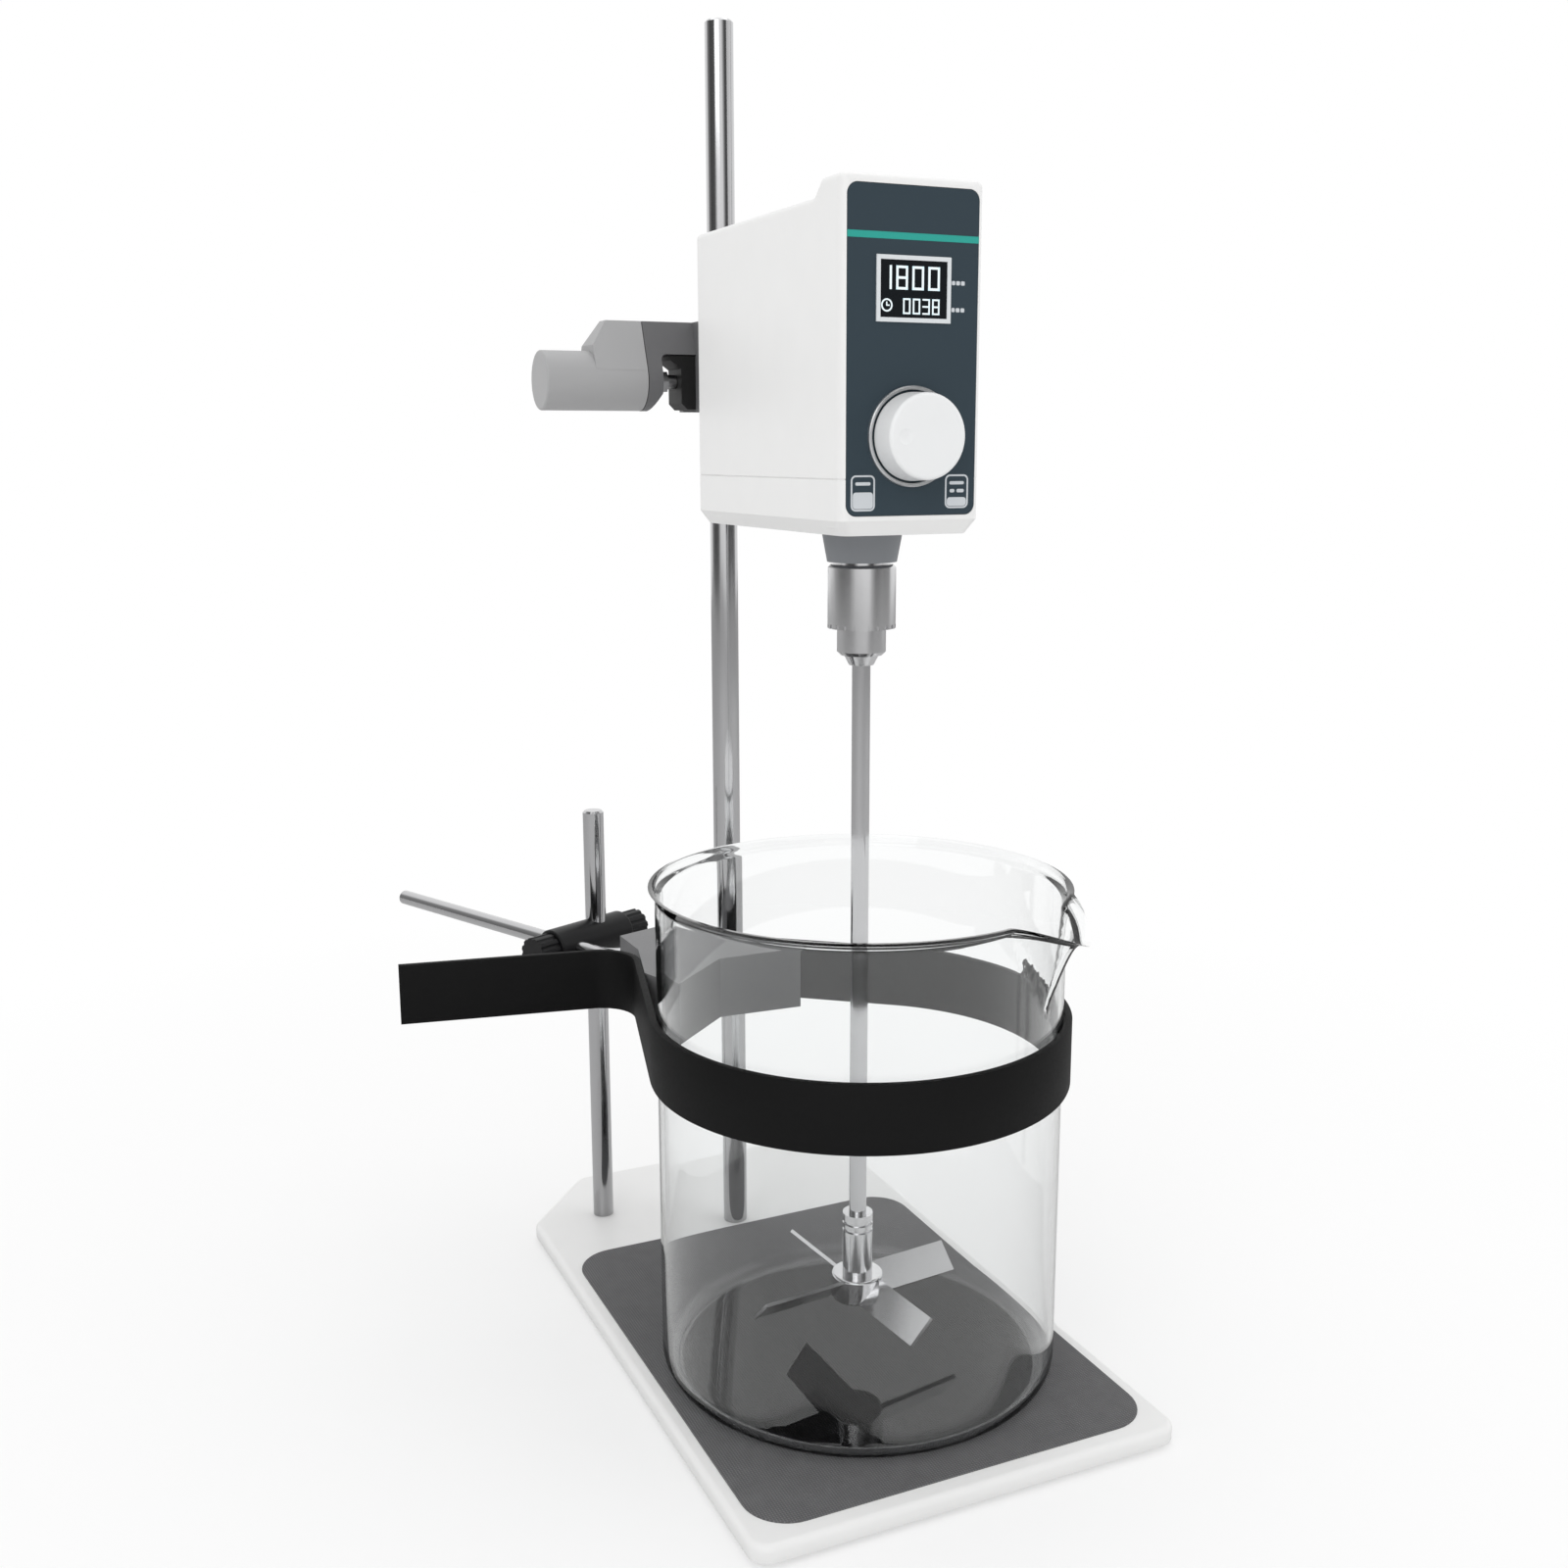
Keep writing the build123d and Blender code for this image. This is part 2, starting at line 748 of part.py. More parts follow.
with BuildPart() as clamp_lever_knob:
    with BuildSketch(Plane.YZ.offset(-wing_left)):
        with Locations((0, clamp_z)):
            Circle(lever_radius)
        Polygon(*lobe_points, align=None)
    extrude(amount=wing_left - lever_right)
    with BuildSketch(Plane.XZ):
        Polygon(
            (-wing_left - overshoot, clamp_z + wing_slope_rise),
            (-wing_left, clamp_z + wing_slope_rise),
            (-wing_left + wing_slope, block_top),
            (-wing_left + wing_slope, block_top + overshoot),
            (-wing_left - overshoot, block_top + overshoot),
            align=None,
        )
    extrude(amount=lever_radius, both=True, mode=Mode.SUBTRACT)
    with BuildSketch(Plane.YZ.offset(-lever_left)):
        with Locations((0, clamp_z)):
            Circle(lever_radius)
    extrude(amount=lever_left - lever_right)
    fillet(clamp_lever_knob.faces().sort_by(Axis.X)[0].edges(), lever_edge)
    with BuildSketch(Plane.YZ.offset(-lever_right)):
        with Locations((0, clamp_z)):
            Circle(screw_radius + press_gap)
    extrude(amount=lever_right - screw_in_knob, mode=Mode.SUBTRACT)
clamp_lever_knob.part.label = "clamp_lever_knob"
export_step(clamp_lever_knob.part, "parts/clamp_lever_knob.step")

with BuildPart() as mounting_rod:
    with BuildSketch(Plane.XZ.offset(-rear_y)):
        with Locations((0, mounting_z)):
            Circle(mounting_radius)
    extrude(amount=rear_y + block_half_y - mounting_insert)
mounting_rod.part.label = "mounting_rod"
export_step(mounting_rod.part, "parts/mounting_rod.step")

flange_spots = [
    (across * flange_screw_x, mounting_z + up * flange_screw_z)
    for across in (-1, 1)
    for up in (-1, 1)
]
with BuildPart() as mounting_flange:
    with BuildSketch(Plane.XZ.offset(-rear_y)):
        with Locations((0, mounting_z)):
            RectangleRounded(flange_width, flange_height, flange_corner)
            Circle(mounting_radius + press_gap, mode=Mode.SUBTRACT)
        with Locations(*flange_spots):
            Circle(flange_screw_radius + running_gap, mode=Mode.SUBTRACT)
    extrude(amount=-flange_thickness)
    chamfer(mounting_flange.faces().sort_by(Axis.Y)[-1].outer_wire().edges(), base_break)
mounting_flange.part.label = "mounting_flange"
export_step(mounting_flange.part, "parts/mounting_flange.step")

flange_face = rear_y + flange_thickness
with BuildPart() as flange_screws:
    with BuildSketch(Plane.XZ.offset(-flange_face)):
        with Locations(*flange_spots):
            Circle(flange_screw_head)
    extrude(amount=-flange_screw_head_height)
    with BuildSketch(Plane.XZ.offset(-flange_face - flange_screw_head_height)):
        with Locations(*flange_spots):
            RegularPolygon(flange_screw_head / 2, 6)
    extrude(amount=flange_screw_head_height / 2, mode=Mode.SUBTRACT)
    with BuildSketch(Plane.XZ.offset(-flange_face)):
        with Locations(*flange_spots):
            Circle(flange_screw_radius)
    extrude(amount=flange_screw_length)
flange_screws.part.label = "flange_screws"
export_step(flange_screws.part, "parts/flange_screws.step")


# Housing of the drive head

inner_half = half_head - head_wall
inner_front = front_y + front_wall
inner_rear = rear_y - head_wall
inner_mid = (inner_front + inner_rear) / 2
head_mid = (front_y + rear_y) / 2
head_depth = rear_y - front_y
floor_top = head_bottom + floor_thickness
screw_ys = (front_y + head_screw_front, rear_y - head_screw_rear)
screw_spots = [(side * head_screw_x, y) for side in (-1, 1) for y in screw_ys]
pad_x = half_head - head_wall / 2 - screw_pad / 2
pad_spots = [(side * pad_x, y) for side in (-1, 1) for y in screw_ys]
post_spots = [
    (across * post_offset, spindle_y + along * post_offset)
    for across in (-1, 1)
    for along in (-1, 1)
]
panel_middle = (panel_bottom + panel_top) / 2
panel_height = panel_top - panel_bottom
panel_seat = front_y + panel_recess
panel_face = panel_seat - panel_thickness
board_front = inner_front + encoder_depth
board_middle = (board_bottom + board_top) / 2
board_pins = [
    (across * (board_width / 2 - board_post_inset), z)
    for across in (-1, 1)
    for z in (board_bottom + board_post_inset, board_top - board_post_inset)
]

with BuildPart() as housing_shell:
    with BuildSketch(Plane.XY.offset(head_split)) as plan:
        with Locations((0, head_mid)):
            Rectangle(head_width, head_depth)
        fillet(plan.vertices().group_by(Axis.Y)[0], front_edge)
        fillet(plan.vertices().group_by(Axis.Y)[-1], rear_edge)
    extrude(amount=brow_top - head_split)
    with BuildSketch(Plane.YZ) as roofline:
        Polygon(
            (front_y + brow_depth, brow_top + overshoot),
            (front_y + brow_depth, brow_top),
            (front_y + brow_depth + brow_slope, head_top),
            (rear_y + overshoot, head_top),
            (rear_y + overshoot, brow_top + overshoot),
            align=None,
        )
        bends = roofline.vertices().sort_by(Axis.X)
        fillet(bends[2], brow_round)
    extrude(amount=half_head, both=True, mode=Mode.SUBTRACT)
    rim = housing_shell.edges().filter_by(
        lambda e: e.center().Z > head_top - overshoot
        and (
            abs(e.center().X) > inner_half
            or e.center().Y < front_y + head_wall
            or e.center().Y > rear_y - head_wall
        )
    )
    fillet(rim, top_edge)
    chamfer(housing_shell.faces().sort_by(Axis.Z)[0].edges(), split_bevel)
    # Room inside
    with BuildSketch(Plane.XY.offset(head_split)):
        with Locations((0, inner_mid)):
            RectangleRounded(2 * inner_half, inner_rear - inner_front, front_edge)
    extrude(amount=head_top - head_wall - head_split, mode=Mode.SUBTRACT)
    # Recess of the front panel and holes behind it
    with BuildSketch(Plane.XZ.offset(-front_y)):
        with Locations((0, panel_middle)):
            RectangleRounded(panel_width + 2 * panel_gap, panel_height + 2 * panel_gap, panel_corner)
    extrude(amount=-panel_recess, mode=Mode.SUBTRACT)
    with BuildSketch(Plane.XZ.offset(-front_y)):
        with Locations((0, knob_z)):
            Circle(encoder_bush_radius + running_gap)
    extrude(amount=-front_wall, mode=Mode.SUBTRACT)
    # Screw pads in the corners
    with BuildSketch(Plane.XY.offset(head_split)):
        with Locations(*pad_spots):
            Rectangle(screw_pad, screw_pad_depth)
        with Locations(*screw_spots):
            Circle(head_screw_radius + press_gap, mode=Mode.SUBTRACT)
    extrude(amount=screw_pad_height)
    # Posts and pins that carry the control board
    with BuildSketch(Plane.XZ.offset(-inner_front)):
        with Locations(*board_pins):
            Circle(board_post_radius)
    extrude(amount=-encoder_depth)
    with BuildSketch(Plane.XZ.offset(-board_front)):
        with Locations(*board_pins):
            Circle(board_pin_radius)
    extrude(amount=-board_thickness)
    # Pads and holes of the flange screws
    with BuildSketch(Plane.XZ.offset(-inner_rear)):
        with Locations(*flange_spots):
            Rectangle(flange_pad, flange_pad)
    extrude(amount=flange_pad_depth)
    with BuildSketch(Plane.XZ.offset(-rear_y)):
        with Locations(*flange_spots):
            Circle(flange_screw_radius + press_gap)
    extrude(amount=head_wall + flange_pad_depth, mode=Mode.SUBTRACT)
    # Openings of the switch and the inlet
    with BuildSketch(Plane.XZ.offset(-rear_y)):
        with Locations((switch_x, socket_z)):
            Rectangle(
                switch_width - 2 * switch_wall + 2 * running_gap,
                switch_height - 2 * switch_wall + 2 * running_gap,
            )
        with Locations((jack_x, socket_z)):
            Circle(jack_radius + running_gap)
    extrude(amount=head_wall, mode=Mode.SUBTRACT)
housing_shell.part.label = "housing_shell"
export_step(housing_shell.part, "parts/housing_shell.step")

with BuildPart() as housing_base:
    for height, inset in ((head_bottom, bevel_inset), (head_bottom + bevel_height, 0)):
        with BuildSketch(Plane.XY.offset(height)) as plan:
            with Locations((0, head_mid)):
                Rectangle(head_width - 2 * inset, head_depth - 2 * inset)
            fillet(plan.vertices().group_by(Axis.Y)[0], front_edge)
            fillet(plan.vertices().group_by(Axis.Y)[-1], rear_edge)
    loft()
    with BuildSketch(Plane.XY.offset(head_bottom + bevel_height)) as plan:
        with Locations((0, head_mid)):
            Rectangle(head_width, head_depth)
        fillet(plan.vertices().group_by(Axis.Y)[0], front_edge)
        fillet(plan.vertices().group_by(Axis.Y)[-1], rear_edge)
    extrude(amount=head_split - head_bottom - bevel_height)
    chamfer(housing_base.faces().sort_by(Axis.Z)[-1].edges(), split_bevel)
    with BuildSketch(Plane.XY.offset(floor_top)):
        with Locations((0, inner_mid)):
            RectangleRounded(
                head_width - 2 * cover_wall, inner_rear - inner_front, front_edge
            )
    extrude(amount=head_split - floor_top, mode=Mode.SUBTRACT)
    # Cup of the lower bearing, motor posts and screw pads
    with Locations((0, spindle_y, floor_top)):
        Cylinder(bearing_radius + bearing_cup_wall, bearing_height, align=UP)
        Cylinder(bearing_radius + press_gap, bearing_height, align=UP, mode=Mode.SUBTRACT)
    with Locations((0, spindle_y, head_bottom)):
        Cylinder(boss_bore, floor_thickness, align=UP, mode=Mode.SUBTRACT)
    with BuildSketch(Plane.XY.offset(floor_top)):
        with Locations(*post_spots):
            Circle(post_radius)
    extrude(amount=motor_plate_z - floor_top)
    with BuildSketch(Plane.XY.offset(motor_plate_z)):
        with Locations(*post_spots):
            Circle(motor_screw_radius + press_gap)
    extrude(amount=-motor_screw_length, mode=Mode.SUBTRACT)
    with BuildSketch(Plane.XY.offset(floor_top)):
        with Locations(*pad_spots):
            Rectangle(screw_pad, screw_pad_depth)
    extrude(amount=head_split - floor_top)
    with BuildSketch(Plane.XY.offset(head_bottom)):
        with Locations(*screw_spots):
            Circle(head_screw_radius + running_gap)
    extrude(amount=head_split - head_bottom, mode=Mode.SUBTRACT)
    with BuildSketch(Plane.XY.offset(head_bottom)):
        with Locations(*screw_spots):
            Circle(head_screw_head + seat_gap)
    extrude(amount=head_screw_head_height + seat_gap, mode=Mode.SUBTRACT)
    # The front panel reaches down over the lower cover
    with BuildSketch(Plane.XZ.offset(-front_y)):
        with Locations((0, panel_middle)):
            RectangleRounded(panel_width + 2 * panel_gap, panel_height + 2 * panel_gap, panel_corner)
    extrude(amount=-panel_recess, mode=Mode.SUBTRACT)
housing_base.part.label = "housing_base"
export_step(housing_base.part, "parts/housing_base.step")

screw_head_top = head_bottom + seat_gap + head_screw_head_height
with BuildPart() as housing_screws:
    with BuildSketch(Plane.XY.offset(screw_head_top)):
        with Locations(*screw_spots):
            Circle(head_screw_head)
    extrude(amount=-head_screw_head_height)
    with BuildSketch(Plane.XY.offset(screw_head_top - head_screw_head_height)):
        with Locations(*screw_spots):
            RegularPolygon(head_screw_head / 2, 6)
    extrude(amount=head_screw_head_height / 2, mode=Mode.SUBTRACT)
    with BuildSketch(Plane.XY.offset(screw_head_top)):
        with Locations(*screw_spots):
            Circle(head_screw_radius)
    extrude(amount=head_screw_length)
housing_screws.part.label = "housing_screws"
export_step(housing_screws.part, "parts/housing_screws.step")


# Front panel with its stripe, display and speed knob

display_middle = display_bottom + display_height / 2
screen_width = display_width - 2 * display_border
screen_height = display_height - 2 * display_border
with BuildPart() as front_panel:
    with BuildSketch(Plane.XZ.offset(-panel_seat)):
        with Locations((0, panel_middle)):
            RectangleRounded(panel_width, panel_height, panel_corner - panel_gap)
        with Locations((0, knob_z)):
            Circle(encoder_bush_radius + running_gap, mode=Mode.SUBTRACT)
    extrude(amount=panel_thickness)
    with BuildSketch(Plane.XZ.offset(-panel_face)):
        with Locations((0, stripe_z)):
            Rectangle(panel_width, stripe_height)
    extrude(amount=-stripe_groove, mode=Mode.SUBTRACT)
    with BuildSketch(Plane.XZ.offset(-panel_face)):
        with Locations((0, display_middle)):
            Rectangle(screen_width, screen_height)
    extrude(amount=-display_pocket, mode=Mode.SUBTRACT)
front_panel.part.label = "front_panel"
export_step(front_panel.part, "parts/front_panel.step")

with BuildPart() as accent_stripe:
    with BuildSketch(Plane.XZ.offset(-panel_face - stripe_groove)):
        with Locations((0, stripe_z)):
            Rectangle(panel_width, stripe_height)
    extrude(amount=stripe_thickness)
accent_stripe.part.label = "accent_stripe"
export_step(accent_stripe.part, "parts/accent_stripe.step")

with BuildPart() as display_frame:
    with BuildSketch(Plane.XZ.offset(-panel_face)):
        with Locations((0, display_middle)):
            Rectangle(display_width, display_height)
            Rectangle(screen_width, screen_height, mode=Mode.SUBTRACT)
    extrude(amount=display_stand)
display_frame.part.label = "display_frame"
export_step(display_frame.part, "parts/display_frame.step")

with BuildPart() as display_screen:
    with BuildSketch(Plane.XZ.offset(-panel_face - display_pocket)):
        with Locations((0, display_middle)):
            Rectangle(screen_width, screen_height)
    extrude(amount=display_thickness)
display_screen.part.label = "display_screen"
export_step(display_screen.part, "parts/display_screen.step")

with BuildPart() as knob_ring:
    with BuildSketch(Plane.XZ.offset(-panel_face)):
        with Locations((0, knob_z)):
            Circle(ring_radius)
            Circle(ring_radius - ring_width, mode=Mode.SUBTRACT)
    extrude(amount=ring_thickness)
    chamfer(knob_ring.faces().sort_by(Axis.Y)[0].edges(), ring_edge)
knob_ring.part.label = "knob_ring"
export_step(knob_ring.part, "parts/knob_ring.step")

knob_back = panel_face - knob_stand
knob_front = knob_back - knob_length
with BuildPart() as speed_knob:
    with BuildSketch(Plane.XZ.offset(-knob_back)):
        with Locations((0, knob_z)):
            Circle(knob_radius)
    with BuildSketch(Plane.XZ.offset(-knob_front)):
        with Locations((0, knob_z)):
            Circle(knob_radius - knob_taper)
    loft()
    fillet(speed_knob.faces().sort_by(Axis.Y)[0].edges(), knob_round)
    with BuildSketch(Plane.XZ.offset(-knob_back)):
        with Locations((0, knob_z)):
            Circle(encoder_shaft_radius + running_gap)
    extrude(amount=knob_bore_depth, mode=Mode.SUBTRACT)
    dimple_ball = (dimple_radius**2 + dimple_depth**2) / (2 * dimple_depth)
    with Locations((-dimple_offset, knob_front + dimple_depth - dimple_ball, knob_z)):
        Sphere(dimple_ball, mode=Mode.SUBTRACT)
speed_knob.part.label = "speed_knob"
export_step(speed_knob.part, "parts/speed_knob.step")

with BuildPart() as encoder_body:
    with BuildSketch(Plane.XZ.offset(-inner_front)):
        with Locations((0, knob_z)):
            Rectangle(encoder_side, encoder_side)
    extrude(amount=-encoder_depth)
    with BuildSketch(Plane.XZ.offset(-inner_front)):
        with Locations((0, knob_z)):
            Circle(encoder_bush_radius)
    extrude(amount=inner_front - panel_face)
    with BuildSketch(Plane.XZ.offset(-panel_face)):
        with Locations((0, knob_z)):
            Circle(encoder_shaft_radius + running_gap)
    extrude(
        amount=-(inner_front - panel_face + encoder_shaft_tail + seat_gap),
        mode=Mode.SUBTRACT,
    )
encoder_body.part.label = "encoder_body"
export_step(encoder_body.part, "parts/encoder_body.step")

shaft_tail = inner_front + encoder_shaft_tail
with BuildPart() as encoder_shaft:
    with BuildSketch(Plane.XZ.offset(-shaft_tail)):
        with Locations((0, knob_z)):
            Circle(encoder_shaft_radius)
    extrude(amount=shaft_tail - knob_back + knob_shaft_depth)
encoder_shaft.part.label = "encoder_shaft"
export_step(encoder_shaft.part, "parts/encoder_shaft.step")

with BuildPart() as control_board:
    with BuildSketch(Plane.XZ.offset(-board_front)):
        with Locations((0, board_middle)):
            Rectangle(board_width, board_top - board_bottom)
        with Locations(*board_pins):
            Circle(board_pin_radius + running_gap, mode=Mode.SUBTRACT)
    extrude(amount=-board_thickness)
control_board.part.label = "control_board"
export_step(control_board.part, "parts/control_board.step")


# Motor, spindle and bearings

rotor_bottom = stator_bottom + stator_floor + 2 * seat_gap
with BuildPart() as motor_mount:
    with BuildSketch(Plane.XY.offset(motor_plate_z)):
        with Locations((0, spindle_y)):
            RectangleRounded(motor_plate_size, motor_plate_size, motor_plate_corner)
            Circle(motor_plate_hole, mode=Mode.SUBTRACT)
        with Locations(*post_spots):
            Circle(motor_screw_radius + running_gap, mode=Mode.SUBTRACT)
    extrude(amount=motor_plate_thickness)
motor_mount.part.label = "motor_mount"
export_step(motor_mount.part, "parts/motor_mount.step")

with BuildPart() as motor_screws:
    with BuildSketch(Plane.XY.offset(stator_bottom)):
        with Locations(*post_spots):
            Circle(motor_screw_head)
    extrude(amount=motor_screw_head_height)
    with BuildSketch(Plane.XY.offset(stator_bottom + motor_screw_head_height)):
        with Locations(*post_spots):
            RegularPolygon(motor_screw_head / 2, 6)
    extrude(amount=-motor_screw_head_height / 2, mode=Mode.SUBTRACT)
    with BuildSketch(Plane.XY.offset(stator_bottom)):
        with Locations(*post_spots):
            Circle(motor_screw_radius)
    extrude(amount=-motor_screw_length)
motor_screws.part.label = "motor_screws"
export_step(motor_screws.part, "parts/motor_screws.step")

with BuildPart() as motor_stator:
    with Locations((0, spindle_y, stator_bottom)):
        Cylinder(stator_radius, stator_height, align=UP)
        Cylinder(motor_plate_hole, stator_floor, align=UP, mode=Mode.SUBTRACT)
    with Locations((0, spindle_y, stator_bottom + stator_floor)):
        Cylinder(stator_bore, stator_height - stator_floor, align=UP, mode=Mode.SUBTRACT)
motor_stator.part.label = "motor_stator"
export_step(motor_stator.part, "parts/motor_stator.step")

with BuildPart() as motor_cap:
    with Locations((0, spindle_y, stator_top)):
        Cylinder(stator_radius, stator_cap_height - bearing_height, align=UP)
        Cylinder(bearing_radius + bearing_cup_wall, stator_cap_height, align=UP)
        Cylinder(stator_cap_hole, stator_cap_height, align=UP, mode=Mode.SUBTRACT)
    with Locations((0, spindle_y, cap_top - bearing_height)):
        Cylinder(bearing_radius + press_gap, bearing_height, align=UP, mode=Mode.SUBTRACT)
motor_cap.part.label = "motor_cap"
export_step(motor_cap.part, "parts/motor_cap.step")

with BuildPart() as motor_rotor:
    with Locations((0, spindle_y, rotor_bottom)):
        Cylinder(stator_bore - rotor_gap, rotor_height, align=UP)
        Cylinder(tube_radius + press_gap, rotor_height, align=UP, mode=Mode.SUBTRACT)
motor_rotor.part.label = "motor_rotor"
export_step(motor_rotor.part, "parts/motor_rotor.step")

with BuildPart() as lower_bearing:
    with Locations((0, spindle_y, floor_top)):
        Cylinder(bearing_radius, bearing_height, align=UP)
        Cylinder(tube_radius + running_gap, bearing_height, align=UP, mode=Mode.SUBTRACT)
    for height in (floor_top, floor_top + bearing_height - bearing_groove):
        with BuildSketch(Plane.XY.offset(height)):
            with Locations((0, spindle_y)):
                Circle(bearing_radius - bearing_ring)
                Circle(tube_radius + bearing_ring, mode=Mode.SUBTRACT)
        extrude(amount=bearing_groove, mode=Mode.SUBTRACT)
lower_bearing.part.label = "lower_bearing"
export_step(lower_bearing.part, "parts/lower_bearing.step")

with BuildPart() as upper_bearing:
    with Locations((0, spindle_y, cap_top - bearing_height)):
        Cylinder(bearing_radius, bearing_height, align=UP)
        Cylinder(tube_radius + running_gap, bearing_height, align=UP, mode=Mode.SUBTRACT)
    for height in (cap_top - bearing_height, cap_top - bearing_groove):
        with BuildSketch(Plane.XY.offset(height)):
            with Locations((0, spindle_y)):
                Circle(bearing_radius - bearing_ring)
                Circle(tube_radius + bearing_ring, mode=Mode.SUBTRACT)
        extrude(amount=bearing_groove, mode=Mode.SUBTRACT)
upper_bearing.part.label = "upper_bearing"
export_step(upper_bearing.part, "parts/upper_bearing.step")

with BuildPart() as spindle_tube:
    with Locations((0, spindle_y, tube_bottom)):
        Cylinder(tube_radius, tube_top - tube_bottom, align=UP)
        Cylinder(tube_bore, tube_top - tube_bottom, align=UP, mode=Mode.SUBTRACT)
spindle_tube.part.label = "spindle_tube"
export_step(spindle_tube.part, "parts/spindle_tube.step")

with BuildPart() as spindle_boss:
    with Locations((0, spindle_y, head_bottom - boss_height)):
        Cone(boss_bottom_radius, boss_top_radius, boss_height, align=UP)
        Cylinder(boss_bore, boss_height, align=UP, mode=Mode.SUBTRACT)
spindle_boss.part.label = "spindle_boss"
export_step(spindle_boss.part, "parts/spindle_boss.step")


# Chuck

nose_top = sleeve_bottom - seat_gap
jaw_top = jaw_bore_top - jaw_travel - seat_gap
with BuildPart() as chuck_body:
    with Locations((0, spindle_y, nose_bottom)):
        Cylinder(nose_radius, nose_top - nose_bottom, align=UP)
        Cylinder(shank_radius, shank_top - nose_bottom, align=UP)
    chamfer(chuck_body.edges().sort_by(Axis.Z)[0], nose_chamfer)
    with Locations((0, spindle_y, nose_bottom)):
        Cylinder(tube_bore, shank_top - nose_bottom, align=UP, mode=Mode.SUBTRACT)
        Cylinder(jaw_bore, jaw_bore_top - nose_bottom, align=UP, mode=Mode.SUBTRACT)
    with Locations((0, spindle_y, tube_bottom)):
        Cylinder(tube_radius + press_gap, shank_top - tube_bottom, align=UP, mode=Mode.SUBTRACT)
chuck_body.part.label = "chuck_body"
export_step(chuck_body.part, "parts/chuck_body.step")

with BuildPart() as chuck_sleeve:
    with Locations((0, spindle_y, sleeve_bottom)):
        Cylinder(sleeve_radius, sleeve_top - sleeve_bottom, align=UP)
    chamfer(chuck_sleeve.edges().sort_by(Axis.Z)[-1], sleeve_chamfer)
    with Locations((0, spindle_y, sleeve_bottom)):
        Cylinder(
            shank_radius + running_gap,
            sleeve_top - sleeve_bottom,
            align=UP,
            mode=Mode.SUBTRACT,
        )
    with BuildSketch(Plane.XY.offset(sleeve_bottom)):
        with Locations((0, spindle_y)):
            with PolarLocations(sleeve_radius, sleeve_teeth):
                Rectangle(2 * tooth_gap_depth, tooth_gap_width)
    extrude(amount=tooth_gap_height, mode=Mode.SUBTRACT)
chuck_sleeve.part.label = "chuck_sleeve"
export_step(chuck_sleeve.part, "parts/chuck_sleeve.step")

with BuildPart() as chuck_jaws:
    with Locations((0, spindle_y, jaw_bottom)):
        Cone(jaw_tip_radius, jaw_bore - running_gap, jaw_cone_height, align=UP)
    with Locations((0, spindle_y, jaw_bottom + jaw_cone_height)):
        Cylinder(jaw_bore - running_gap, jaw_top - jaw_bottom - jaw_cone_height, align=UP)
    with Locations((0, spindle_y, jaw_bottom)):
        Cylinder(shaft_radius + running_gap, jaw_top - jaw_bottom, align=UP, mode=Mode.SUBTRACT)
    with BuildSketch(Plane.XY.offset(jaw_bottom)):
        with Locations((0, spindle_y)):
            with PolarLocations(jaw_bore / 2, jaw_count, start_angle=90):
                Rectangle(jaw_bore + overshoot, jaw_slit)
    extrude(amount=jaw_top - jaw_bottom, mode=Mode.SUBTRACT)
chuck_jaws.part.label = "chuck_jaws"
export_step(chuck_jaws.part, "parts/chuck_jaws.step")


# Stirring shaft and impeller

with BuildPart() as stir_shaft:
    with Locations((0, spindle_y, shaft_bottom)):
        Cylinder(shaft_radius, shaft_top - shaft_bottom, align=UP)
    chamfer(stir_shaft.edges().sort_by(Axis.Z)[-1], shaft_chamfer)
stir_shaft.part.label = "stir_shaft"
export_step(stir_shaft.part, "parts/stir_shaft.step")

blade_z = hub_bottom + hub_height / 2
blade_align = (Align.MIN, Align.CENTER, Align.CENTER)
blade_step = 360 / blade_count
grub_heading = blade_heading + blade_step / 2
with BuildPart() as impeller_hub:
    with Locations((0, spindle_y, hub_bottom)):
        Cylinder(hub_radius, hub_height, align=UP)
    fillet(impeller_hub.edges().filter_by(GeomType.CIRCLE), hub_edge)
    with Locations((0, spindle_y, hub_top)):
        Cylinder(collar_radius, collar_height, align=UP)
    with Locations((0, spindle_y, shaft_bottom)):
        Cylinder(shaft_radius + press_gap, collar_top - shaft_bottom, align=UP, mode=Mode.SUBTRACT)
    for groove in range(1, groove_count + 1):
        with BuildSketch(Plane.XY.offset(collar_top - groove * groove_pitch)):
            with Locations((0, spindle_y)):
                Circle(collar_radius)
                Circle(collar_radius - groove_depth, mode=Mode.SUBTRACT)
        extrude(amount=-groove_width, mode=Mode.SUBTRACT)
    for turn in range(blade_count):
        with Locations(Location((0, spindle_y, blade_z), (0, 0, blade_heading + blade_step * turn))):
            with Locations((blade_root, 0, 0)):
                Box(
                    hub_radius,
                    blade_chord + 2 * press_gap,
                    blade_thickness + 2 * press_gap,
                    rotation=(blade_pitch, 0, 0),
                    align=blade_align,
                    mode=Mode.SUBTRACT,
                )
    with Locations(Location((0, spindle_y, grub_z), (0, 0, grub_heading))):
        Cylinder(
            grub_radius + press_gap,
            collar_radius,
            rotation=(0, 90, 0),
            align=UP,
            mode=Mode.SUBTRACT,
        )
impeller_hub.part.label = "impeller_hub"
export_step(impeller_hub.part, "parts/impeller_hub.step")

with BuildPart() as impeller_blades:
    for turn in range(blade_count):
        with Locations(Location((0, spindle_y, blade_z), (0, 0, blade_heading + blade_step * turn))):
            with Locations((blade_root, 0, 0)):
                Box(
                    blade_tip - blade_root,
                    blade_chord,
                    blade_thickness,
                    rotation=(blade_pitch, 0, 0),
                    align=blade_align,
                )
impeller_blades.part.label = "impeller_blades"
export_step(impeller_blades.part, "parts/impeller_blades.step")

